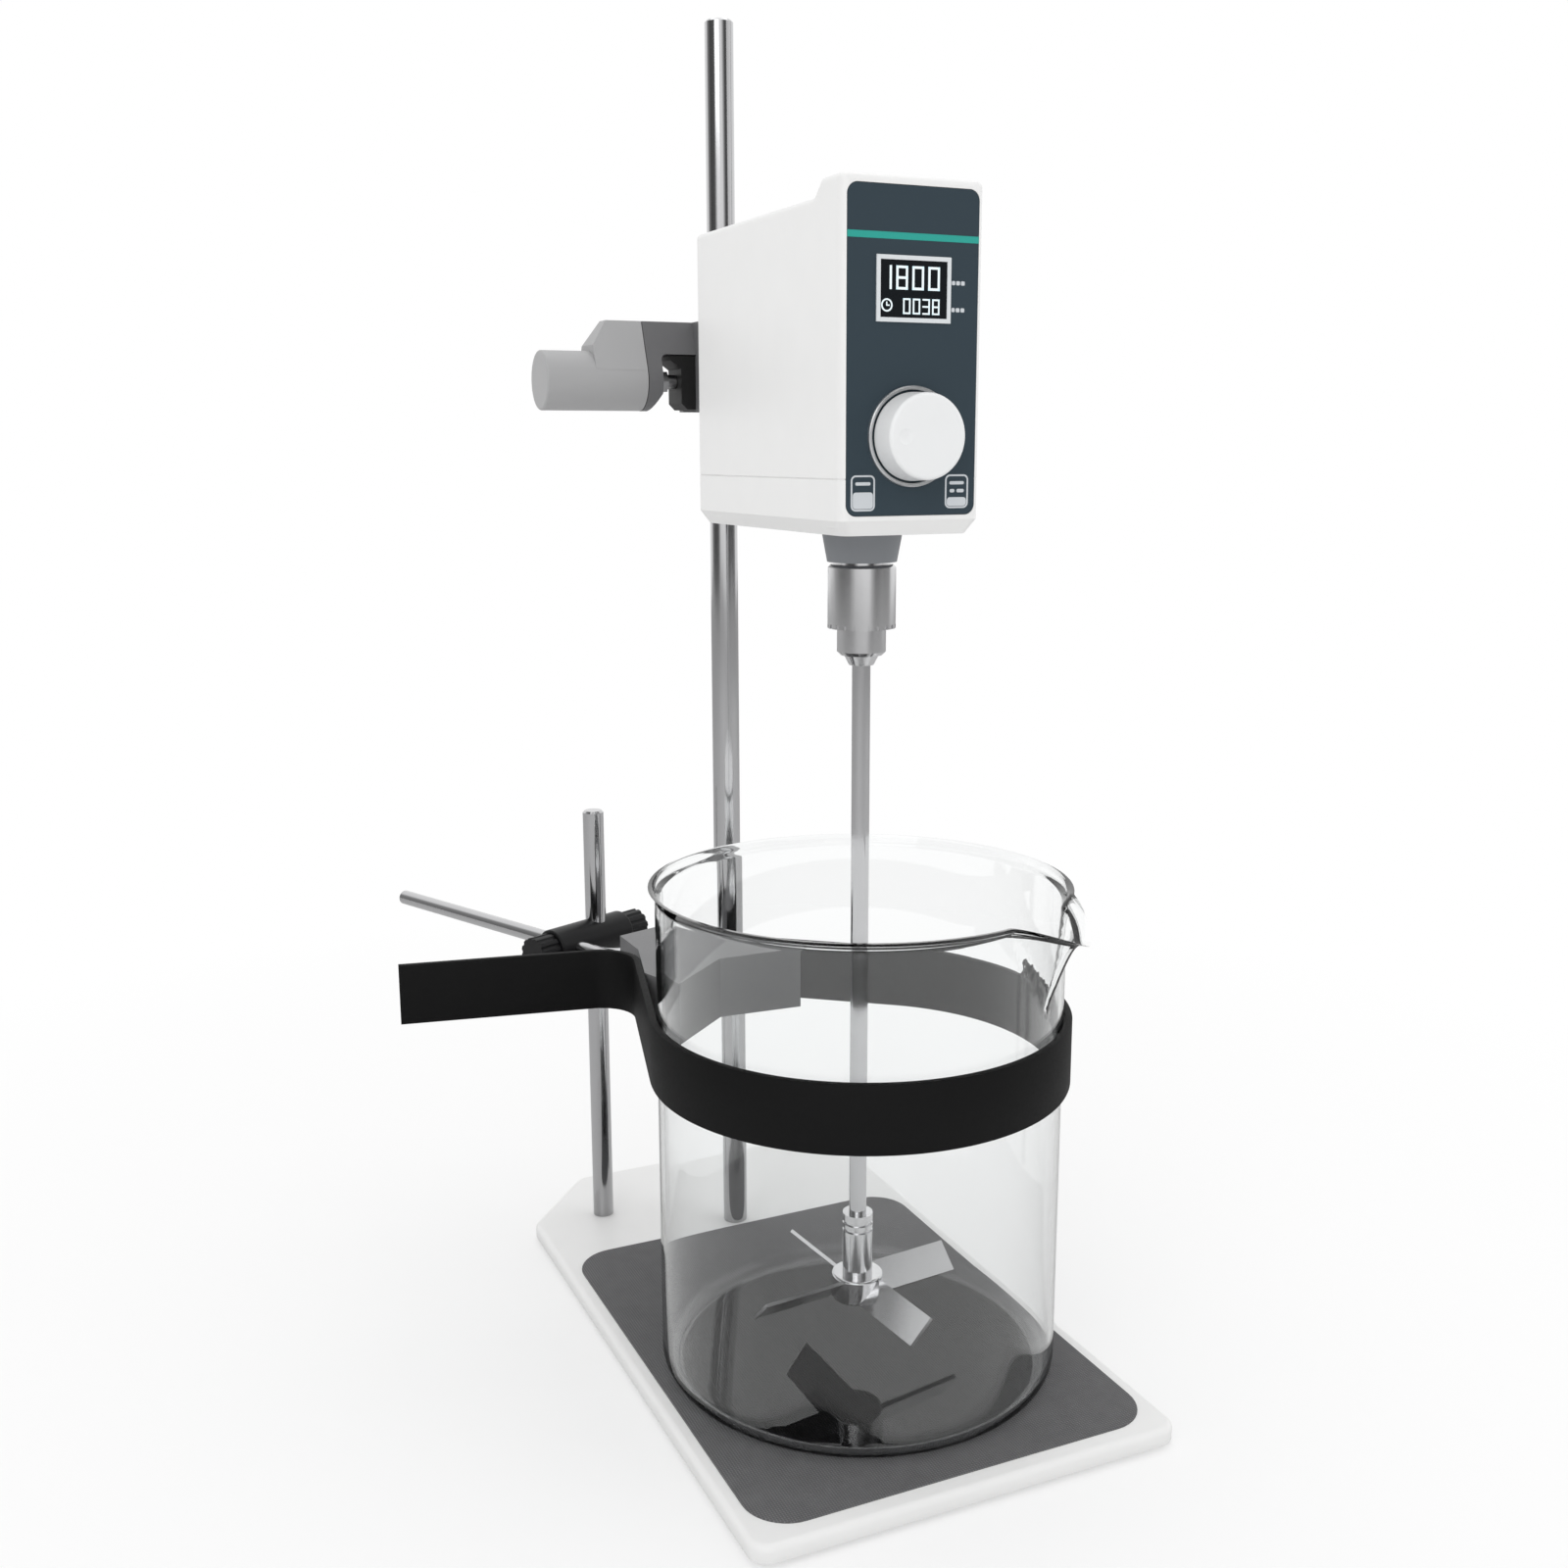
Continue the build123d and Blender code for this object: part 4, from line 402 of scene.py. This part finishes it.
# %% Lit digits of the display
digit_light = Look("lit_digits", "display_border", Emission_Strength=0.55)
grain = digit_light.noise(scale=2000.0)
digit_light.feed("Base Color", digit_light.mix(grain, (0.55, 0.6, 0.62), (0.6, 0.66, 0.68)))
digit_light.feed("Emission Color", digit_light.mix(grain, (0.62, 0.72, 0.75), (0.7, 0.8, 0.82)))
print("digit nodes", len(digit_light.tree.nodes))

# %% [markdown]
# ## Modelling tools
#
# An outline is a list of corners, each with its radius, so it holds only the points that the shape
# needs. This tool puts an arc in place of each corner. All outlines are in millimetres.

# %% Round the corners of an outline
mm = 0.001


def rounded(corners, steps=6):
    """Points of an outline whose corners (x, y, radius) are replaced by arcs."""
    points = []
    for i, (x, y, radius) in enumerate(corners):
        here = Vector((x, y))
        if radius <= 0:
            points.append(here)
            continue
        before = (Vector(corners[i - 1][:2]) - here).normalized()
        after = (Vector(corners[(i + 1) % len(corners)][:2]) - here).normalized()
        half = before.angle(after) / 2
        middle = here + (before + after).normalized() * (radius / sin(half))
        start = here + before * (radius / tan(half)) - middle
        end = here + after * (radius / tan(half)) - middle
        sweep = start.angle_signed(end)
        for step in range(steps + 1):
            points.append(middle + Matrix.Rotation(-sweep * step / steps, 2) @ start)
    return points


def box_corners(x0, y0, x1, y1, radius):
    """Corners of a box whose four corners share one radius."""
    return [(x0, y0, radius), (x1, y0, radius), (x1, y1, radius), (x0, y1, radius)]


print("a rounded box has", len(rounded(box_corners(0, 0, 10, 10, 1))), "points")

# %% [markdown]
# Three tools make closed skins. One extrudes an outline, one spins a profile and one sweeps a section
# along a path. Modifiers could do it too, but a bmesh is finished at once and can be changed point by
# point afterwards. `AXES` says how an outline's two numbers and its depth become X, Y and Z.

# %% Extrude, turn and sweep
AXES = {
    "Z": lambda u, v, w: (u, v, w),
    "Y": lambda u, v, w: (u, w, v),
}
WELD = 1e-7


def close_rings(bm, rings):
    """Makes a band of faces between each ring of points and the next."""
    for a, b in zip(rings, rings[1:]):
        for j in range(len(a)):
            k = (j + 1) % len(a)
            bm.faces.new((a[j], a[k], b[k], b[j]))


def extruded(outline, low, high, along="Z"):
    """A bmesh prism of an outline, in millimetres."""
    bm = bmesh.new()
    place = AXES[along]
    ring = [bm.verts.new([c * mm for c in place(p[0], p[1], low)]) for p in outline]
    face = bm.faces.new(ring)
    made = bmesh.ops.extrude_face_region(bm, geom=[face])
    moved = [v for v in made["geom"] if isinstance(v, bmesh.types.BMVert)]
    step = Vector(place(0, 0, high - low)) * mm
    bmesh.ops.translate(bm, vec=step, verts=moved)
    bmesh.ops.recalc_face_normals(bm, faces=bm.faces)
    return bm


def turned(profile, centre=(0, 0, 0), along="Z", steps=96, closed=True):
    """A bmesh skin that a profile of (radius, height) makes when it spins about an axis."""
    bm = bmesh.new()
    place = AXES[along]
    line = [bm.verts.new((p[0] * mm, 0, p[1] * mm)) for p in profile]
    pairs = zip(line, line[1:] + line[:1]) if closed else zip(line, line[1:])
    edges = [bm.edges.new(pair) for pair in pairs if (pair[0].co - pair[1].co).length > WELD]
    circle = {"cent": (0, 0, 0), "axis": (0, 0, 1), "angle": 2 * pi, "steps": steps}
    bmesh.ops.spin(bm, geom=line + edges, use_merge=True, **circle)
    bmesh.ops.remove_doubles(bm, verts=bm.verts, dist=WELD)
    for v in bm.verts:
        v.co = Vector(place(v.co.x, v.co.y, v.co.z)) + Vector(centre) * mm
    bmesh.ops.recalc_face_normals(bm, faces=bm.faces)
    return bm


def swept(path, section):
    """A bmesh skin along a level path; section points are (sideways, up) from it."""
    bm = bmesh.new()
    rings = []
    for i, point in enumerate(path):
        back = path[max(i - 1, 0)]
        ahead = path[min(i + 1, len(path) - 1)]
        run = (Vector(ahead) - Vector(back)).normalized()
        side = Vector((run.y, -run.x, 0))
        ring = [Vector(point) + side * s + Vector((0, 0, u)) for s, u in section]
        rings.append([bm.verts.new(p * mm) for p in ring])
    close_rings(bm, rings)
    bm.faces.new(rings[0])
    bm.faces.new(rings[-1])
    bmesh.ops.recalc_face_normals(bm, faces=bm.faces)
    return bm


print("planes", sorted(AXES))

# %% [markdown]
# Two tools change and join skins, and one hands a skin over. `soften` bevels the edges that a test
# picks. `piece` makes the object, gives it its finish and hands it to the body it moves with.


# %% Bevel and hand over
def soften(bm, width, test, segments=4):
    """Bevels the edges whose two ends both pass a test on their place in millimetres."""
    edges = [e for e in bm.edges if all(test(v.co / mm) for v in e.verts)]
    bmesh.ops.bevel(
        bm,
        geom=edges,
        offset=width * mm,
        offset_type="OFFSET",
        affect="EDGES",
        segments=segments,
        profile=0.5,
        material=-1,
        clamp_overlap=True,
    )


def join(bm, other):
    """Adds the other bmesh to the first."""
    spare = bpy.data.meshes.new("spare")
    other.to_mesh(spare)
    other.free()
    bm.from_mesh(spare)
    bpy.data.meshes.remove(spare)


def piece(name, bm, look, body, *nodes, sharp=32):
    """Makes a finished object that moves with a body and stands in for the frame's nodes."""
    bmesh.ops.recalc_face_normals(bm, faces=bm.faces)
    mesh = bpy.data.meshes.new(name)
    bm.to_mesh(mesh)
    bm.free()
    mesh.shade_smooth()
    mesh.set_sharp_from_angle(angle=radians(sharp))
    mesh.materials.append(look.material)
    made = bpy.data.objects.new(name, mesh)
    scene.collection.objects.link(made)
    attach(made, body)
    if nodes:
        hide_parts(*nodes)
    print(name, len(mesh.polygons), "faces on", body)


print("a piece can replace any of", len(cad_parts), "nodes")

# %% [markdown]
# ## Stand
#
# The base is a thick plate with its rear corners cut off. It is one extruded outline. A wide bevel
# rounds its top edge and a narrow one breaks its bottom edge, because a sharp painted edge would
# catch no light. A bevel modifier would round all edges alike, so each is picked by its height.

# %% Base plate
plate_half, plate_front, plate_rear = 101.5, -268, 84
cut_half, cut_front = 61.5, 38
corner_radius = 9
plate_low, plate_high = 2, 10
top_bevel, foot_bevel = 3, 0.6
# A point this near to a level counts as lying on it.
slack = 0.1

plate_corners = [
    (-plate_half, plate_front, corner_radius),
    (plate_half, plate_front, corner_radius),
    (plate_half, cut_front, corner_radius),
    (cut_half, plate_rear, corner_radius),
    (-cut_half, plate_rear, corner_radius),
    (-plate_half, cut_front, corner_radius),
]
bm = extruded(rounded(plate_corners, steps=8), plate_low, plate_high)
soften(bm, top_bevel, lambda p: p.z > plate_high - slack, segments=6)
soften(bm, foot_bevel, lambda p: p.z < plate_low + slack, segments=2)
piece("plate", bm, base_paint, "stand", "base_plate")

# %% [markdown]
# The mat lies on the plate under the beaker. It is sunk into the plate to half its thickness, so that
# only a thin dark edge stands up.

# %% Mat
mat_half, mat_front, mat_rear = 95, -259, -10
mat_low, mat_high = 9.2, 10.8
mat_radius, mat_bevel = 20, 0.5

mat_corners = box_corners(-mat_half, mat_front, mat_half, mat_rear, mat_radius)
bm = extruded(rounded(mat_corners, steps=10), mat_low, mat_high)
soften(bm, mat_bevel, lambda p: p.z > mat_high - slack, segments=3)
piece("mat", bm, mat_weave, "stand", "base_mat")

# %% [markdown]
# Both rods stand on the plate. A spun profile gives them a true round skin, and its bevelled corner
# at the top reads as the chamfer of a cut bar.

# %% Main rod and support rod
rod_foot = plate_high + 0.02
rod_bevel = 1
support_x, support_y = -63, 34

for name, node, radius, rod_top, spot in (
    ("tall_rod", "main_rod", 7, 632, (0, 0, 0)),
    ("short_rod", "support_rod", 5.5, 241, (support_x, support_y, 0)),
):
    outline = [
        (0, rod_foot),
        (radius, rod_foot),
        (radius, rod_top - rod_bevel),
        (radius - rod_bevel, rod_top),
        (0, rod_top),
    ]
    piece(name, turned(outline, spot, closed=False), polished, "stand", node)

# %% [markdown]
# ## Beaker
#
# The wall is one profile: up the outside, over the flared rim and down the inside to the floor. A
# solidified surface would have a wall of even thickness, and a real beaker is thicker at its foot.
# The straight stretches are cut into short ones, so that the spout has points to move.

# %% Turn the beaker
beaker_y = -155
rim_z, foot_z, floor_z = 239.8, 10.8, 13.8
outer_radius, inner_radius = 91.5, 89.3
foot_curve, floor_curve, neck_curve, lip_curve = 9, 7, 4, 1.2
lip_flare, outer_flare, inner_flare = 1.7, 2.9, 3.3
# A stretch belongs to the upright wall if its radius changes by less than `steep`.
cut_length, steep = 4, 0.5

outer = [
    (0, foot_z, 0),
    (outer_radius, foot_z, foot_curve),
    (outer_radius, rim_z - 3.8, neck_curve),
    (outer_radius + lip_flare, rim_z - 1.4, lip_curve),
    (outer_radius + outer_flare, rim_z, 0),
]
inner = [
    (inner_radius + inner_flare, rim_z, 0),
    (inner_radius + lip_flare, rim_z - 2.2, lip_curve),
    (inner_radius, rim_z - 4.3, neck_curve),
    (inner_radius, floor_z, floor_curve),
    (0, floor_z, 0),
]
corner_points = rounded(outer + inner)
profile = []
for a, b in zip(corner_points, corner_points[1:]):
    cuts = max(1, round((b - a).length / cut_length)) if abs(a.x - b.x) < steep else 1
    profile += [a.lerp(b, i / cuts) for i in range(cuts)]
profile.append(corner_points[-1])
bm = turned(profile, steps=288, closed=False)
print("beaker profile", len(profile), "points")

# %% [markdown]
# The spout is pressed out of the hot rim with a tool. Here the points near it move outwards and
# droop. The pressed part is a V that widens towards the rim, so its two creases meet at a point on
# the wall. A spout that was modelled apart and joined on would show a seam in the glass.

# %% Press the spout
spout_bearing = radians(-57)
spout_half_angle = radians(19)
spout_foot = 195.8
spout_reach, spout_droop = 15.5, 12.5
droop_narrowing, droop_growth = 1.3, 4
# Points nearer to the axis than this aren't part of the wall.
floor_reach = 60

for v in bm.verts:
    radius = hypot(v.co.x, v.co.y)
    lift = (v.co.z / mm - spout_foot) / (rim_z - spout_foot)
    if radius < floor_reach * mm or lift <= 0:
        continue
    off_axis = abs((atan2(v.co.y, v.co.x) - spout_bearing + pi) % (2 * pi) - pi)
    pressed = max(0, 1 - off_axis / (spout_half_angle * lift))
    push = 1 + pressed * lift * spout_reach * mm / radius
    v.co.x *= push
    v.co.y *= push
    v.co.z -= pressed ** droop_narrowing * lift ** droop_growth * spout_droop * mm
bmesh.ops.translate(bm, vec=(0, beaker_y * mm, 0), verts=bm.verts)
piece("beaker_wall", bm, glass, "stand", "beaker", sharp=60)

# %% [markdown]
# ## Vessel clamp
#
# The strap runs round the beaker, leaves it at a tangent on both sides and bends away to its free
# tail on the left. Its path is worked out in the clamp's own directions: away from the beaker towards
# the short rod, and to the left of that. A Bezier curve could carry it, but lines and arcs keep the
# tangents exact.

# %% Path of the strap
band_radius = 93.6
leave = radians(56.6)
strap_run, anchor_run = 86, 100
bend_radius, bend_angle, bend_steps = 20, radians(98.7), 12
tail_length = 93.5
wrap_steps = 120

clamp_bearing = atan2(support_y - beaker_y, support_x)
away = Vector((cos(clamp_bearing), sin(clamp_bearing)))
left = Vector((-away.y, away.x))


def in_clamp(forward, sideways):
    """The point this far from the beaker's axis in the clamp's two directions."""
    spot = Vector((0, beaker_y)) + away * forward + left * sideways
    return spot.x, spot.y


tangent = Vector((band_radius * cos(leave), band_radius * sin(leave)))
run = Vector((sin(leave), -cos(leave)))
path = []
for t in (anchor_run, 75, 50, 25):
    path.append(in_clamp(tangent.x + run.x * t, -tangent.y - run.y * t))
for i in range(wrap_steps + 1):
    angle = -leave - (2 * pi - 2 * leave) * i / wrap_steps
    path.append(in_clamp(band_radius * cos(angle), band_radius * sin(angle)))
for t in (25, 50, 70, strap_run):
    path.append(in_clamp(tangent.x + run.x * t, tangent.y + run.y * t))
pivot = tangent + run * strap_run + Vector((cos(leave), sin(leave))) * bend_radius
for i in range(1, bend_steps + 1):
    angle = leave + pi + bend_angle * i / bend_steps
    path.append(in_clamp(pivot.x + bend_radius * cos(angle), pivot.y + bend_radius * sin(angle)))
bend_end = Vector(path[-1])
tail_end = bend_end + (bend_end - Vector(path[-2])).normalized() * tail_length
path += [tuple(bend_end.lerp(tail_end, s)) for s in (0.25, 0.5, 0.75, 1)]
print("strap path", len(path), "points")

# %% [markdown]
# The strap is a flat rubber band that stands on edge. Its section has slightly rounded edges, which
# catch a thin line of light against the black.

# %% Sweep the strap
strap_half_thickness, strap_half_width, strap_corner = 1.75, 15.2, 0.6
strap_z = 166.75

strap_box = (-strap_half_thickness, -strap_half_width, strap_half_thickness, strap_half_width)
section = rounded(box_corners(*strap_box, strap_corner), steps=2)
bm = swept([(x, y, strap_z) for x, y in path], section)
piece("strap_band", bm, strap_rubber, "vessel_clamp", "strap")

# %% [markdown]
# The clamp rod is a round steel bar, bent once between the boss head and the bracket. It crosses the
# short rod at the boss head and sticks out far behind it. The same tool that sweeps the strap sweeps
# a circle here, along a straight stretch, an arc and a second straight stretch.

# %% Bent clamp rod
rod_gap = 20
boss_z = 171
boss_turn, rod_bearing = radians(24), radians(-66)
elbow_angle, elbow_radius, elbow_steps = radians(51), 12, 12
leaving_bearing = radians(-15)
rear_length, elbow_start, end_length = 145, 25, 19.9
clamp_rod_radius, clamp_rod_sides = 3.98, 40

cross_x = support_x - rod_gap * cos(boss_turn)
cross_y = support_y - rod_gap * sin(boss_turn)
cross = Vector((cross_x, cross_y, boss_z))
forward = Vector((cos(rod_bearing), sin(rod_bearing), 0))
line = [cross + forward * s for s in (-rear_length, 0.8 - rear_length, -100, -50, 0, elbow_start - 0.5)]
elbow_centre = cross + forward * elbow_start + Vector((-forward.y, forward.x, 0)) * elbow_radius
for i in range(elbow_steps + 1):
    angle = rod_bearing - pi / 2 + elbow_angle * i / elbow_steps
    line.append(elbow_centre + Vector((cos(angle), sin(angle), 0)) * elbow_radius)
leaving = Vector((cos(leaving_bearing), sin(leaving_bearing), 0))
line += [line[-1] + leaving * s for s in (8, end_length)]
turns = [2 * pi * i / clamp_rod_sides for i in range(clamp_rod_sides)]
circle = [(clamp_rod_radius * cos(t), clamp_rod_radius * sin(t)) for t in turns]
piece("bent_rod", swept([tuple(p) for p in line], circle), polished, "vessel_clamp", "clamp_rod")

# %% [markdown]
# ## CAD pieces that show as they are
#
# The frame's own meshes carry the remaining parts, with their fillets and chamfers. Modelling them
# again would only repeat those shapes, so each of them gets its finish here and nothing else.

# %% Finish the frame's own meshes
shown = {
    foot_rubber: ("rubber_feet",),
    screw_steel: (
        "rod_screws",
        "clamp_nut",
        "clamp_screw",
        "flange_screws",
        "housing_screws",
        "motor_screws",
        "encoder_shaft",
        "hub_set_screw",
    ),
    housing_white: ("housing_shell", "housing_base"),
    panel_blue: ("front_panel",),
    stripe_teal: ("accent_stripe",),
    frame_grey: ("display_frame",),
    screen_black: ("display_screen",),
    chrome: ("knob_ring",),
    knob_white: ("speed_knob",),
    liner_black: ("rod_liner", "clamp_jaw"),
    clamp_grey: ("clamp_body", "mounting_flange"),
    lever_grey: ("clamp_lever_knob",),
    boss_grey: ("spindle_boss",),
    polished: ("mounting_rod", "stir_shaft"),
    turned_steel: (
        "spindle_tube",
        "chuck_body",
        "chuck_sleeve",
        "chuck_jaws",
        "impeller_hub",
        "impeller_blades",
    ),
    mount_aluminium: ("motor_mount", "motor_cap"),
    motor_iron: ("motor_stator", "motor_rotor"),
    bearing_steel: ("lower_bearing", "upper_bearing"),
    board_green: ("control_board",),
    encoder_black: ("encoder_body", "power_jack"),
    switch_black: ("switch_frame", "switch_rocker"),
    bracket_grey: ("strap_bracket",),
    boss_black: ("boss_head",),
    thumb_black: ("support_thumbscrew", "rod_thumbscrew"),
}
for look, nodes in shown.items():
    for node in nodes:
        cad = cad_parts[node]
        cad.data.materials.clear()
        cad.data.materials.append(look.material)
print("frame meshes finished", sum(len(nodes) for nodes in shown.values()))

# %% [markdown]
# ## Display and prints
#
# The display is a screen with segmented digits. A digit is the set of the seven bars that are lit. A
# text object would need a font of this kind, and bars are easy to build. They are a tenth of a
# millimetre thick and lie just in front of the screen.

# %% Draw the digits
BARS = {"0": "abcdef", "1": "bc", "3": "abcdg", "8": "abcdefg"}
face_y = -197.8
screen_y = face_y - 0.3
lit_front, lit_depth = screen_y - 0.12, 0.1
dial_x, dial_z = -12.0, 484.3
dial_outer, dial_inner = 2.5, 1.9


def bar(bm, x0, z0, x1, z1, front=lit_front, depth=lit_depth):
    """Joins an upright flat box to the bmesh."""
    join(bm, extruded([(x0, z0), (x1, z0), (x1, z1), (x0, z1)], front, front + depth, "Y"))


def digit(bm, sign, x, z, width, height, stroke):
    """Joins the lit bars of one digit, whose lower left corner is at x and z."""
    half = height / 2
    spots = {
        "a": (x, z + height - stroke, x + width, z + height),
        "d": (x, z, x + width, z + stroke),
        "g": (x, z + half - stroke / 2, x + width, z + half + stroke / 2),
        "f": (x, z + half, x + stroke, z + height),
        "e": (x, z, x + stroke, z + half),
        "b": (x + width - stroke, z + half, x + width, z + height),
        "c": (x + width - stroke, z, x + width, z + half),
    }
    for name in BARS[sign]:
        bar(bm, *spots[name])


bm = bmesh.new()
for number, x, pitch, z, width, height, stroke in (
    ("1800", -15.1, 7.15, 490.3, 5.2, 9.0, 0.95),
    ("0038", -4.8, 4.35, 481.1, 3.3, 6.0, 0.65),
):
    for i, sign in enumerate(number):
        digit(bm, sign, x + i * pitch, z, width, height, stroke)
ring = [(dial_outer, 0), (dial_inner, 0), (dial_inner, lit_depth), (dial_outer, lit_depth)]
dial = turned(ring, along="Y", steps=40)
bmesh.ops.translate(dial, vec=Vector((dial_x, lit_front, dial_z)) * mm, verts=dial.verts)
join(bm, dial)
bar(bm, dial_x - 0.3, dial_z - 0.3, dial_x + 0.2, dial_z + 1.3)
bar(bm, dial_x - 0.3, dial_z - 0.3, dial_x + 1.2, dial_z + 0.2, lit_front - 0.01, lit_depth + 0.02)
piece("digits", bm, digit_light, "head")

# %% [markdown]
# Two labels stand beside the display and two signs stand below the knob. They are printed shapes
# without words: bars, and a rounded outline with a light block in its lower part. Ink has almost no
# thickness, so the shapes are thin plates whose backs are sunk a little into the panel.

# %% Print the panel
ink_front, ink_depth = face_y - 0.1, 0.14
label_rows = (493.6, 483.3)
label_bars = ((17.2, 1.5), (19.2, 1.7), (21.4, 1.7))
label_half_height = 0.8
label_radius = 0.4
sign_top, sign_radius, sign_stroke = 419.0, 2.2, 0.7
title_low, title_high, note_low, note_high = 415.0, 416.3, 411.8, 413.2
block_radius, line_radius = 1.3, 0.6
signs = ((-27.2, -16.4, 404.9, 412.3), (15.6, 26.4, 405.5, 409.9))
block_margin, title_margin = 0.9, 2.0


def flat(bm, corners):
    """Joins a thin rounded plate to the bmesh."""
    join(bm, extruded(rounded(corners, steps=4), ink_front, ink_front + ink_depth, "Y"))


def outlined(bm, x0, z0, x1, z1, radius, stroke):
    """Joins a closed rounded frame to the bmesh."""
    inside = (x0 + stroke, z0 + stroke, x1 - stroke, z1 - stroke, radius - stroke)
    outer = rounded(box_corners(x0, z0, x1, z1, radius))
    inner = rounded(box_corners(*inside))
    back = ink_front + ink_depth
    rings = []
    for points, y in ((outer, ink_front), (inner, ink_front), (inner, back), (outer, back)):
        rings.append([bm.verts.new(Vector((p.x, y, p.y)) * mm) for p in points])
    close_rings(bm, rings + rings[:1])


bm = bmesh.new()
for z in label_rows:
    for x, width in label_bars:
        low, high = z - label_half_height, z + label_half_height
        flat(bm, box_corners(x, low, x + width, high, label_radius))
for x0, x1, z0, block_top in signs:
    outlined(bm, x0, z0, x1, sign_top, sign_radius, sign_stroke)
    block = (x0 + block_margin, z0 + block_margin, x1 - block_margin, block_top)
    flat(bm, box_corners(*block, block_radius))
    flat(bm, box_corners(x0 + title_margin, title_low, x1 - title_margin, title_high, line_radius))
for x0, x1 in ((17.8, 20.0), (21.0, 24.4)):
    flat(bm, box_corners(x0, note_low, x1, note_high, line_radius))
piece("panel_print", bm, print_grey, "head")

# %% Finish
low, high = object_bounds()
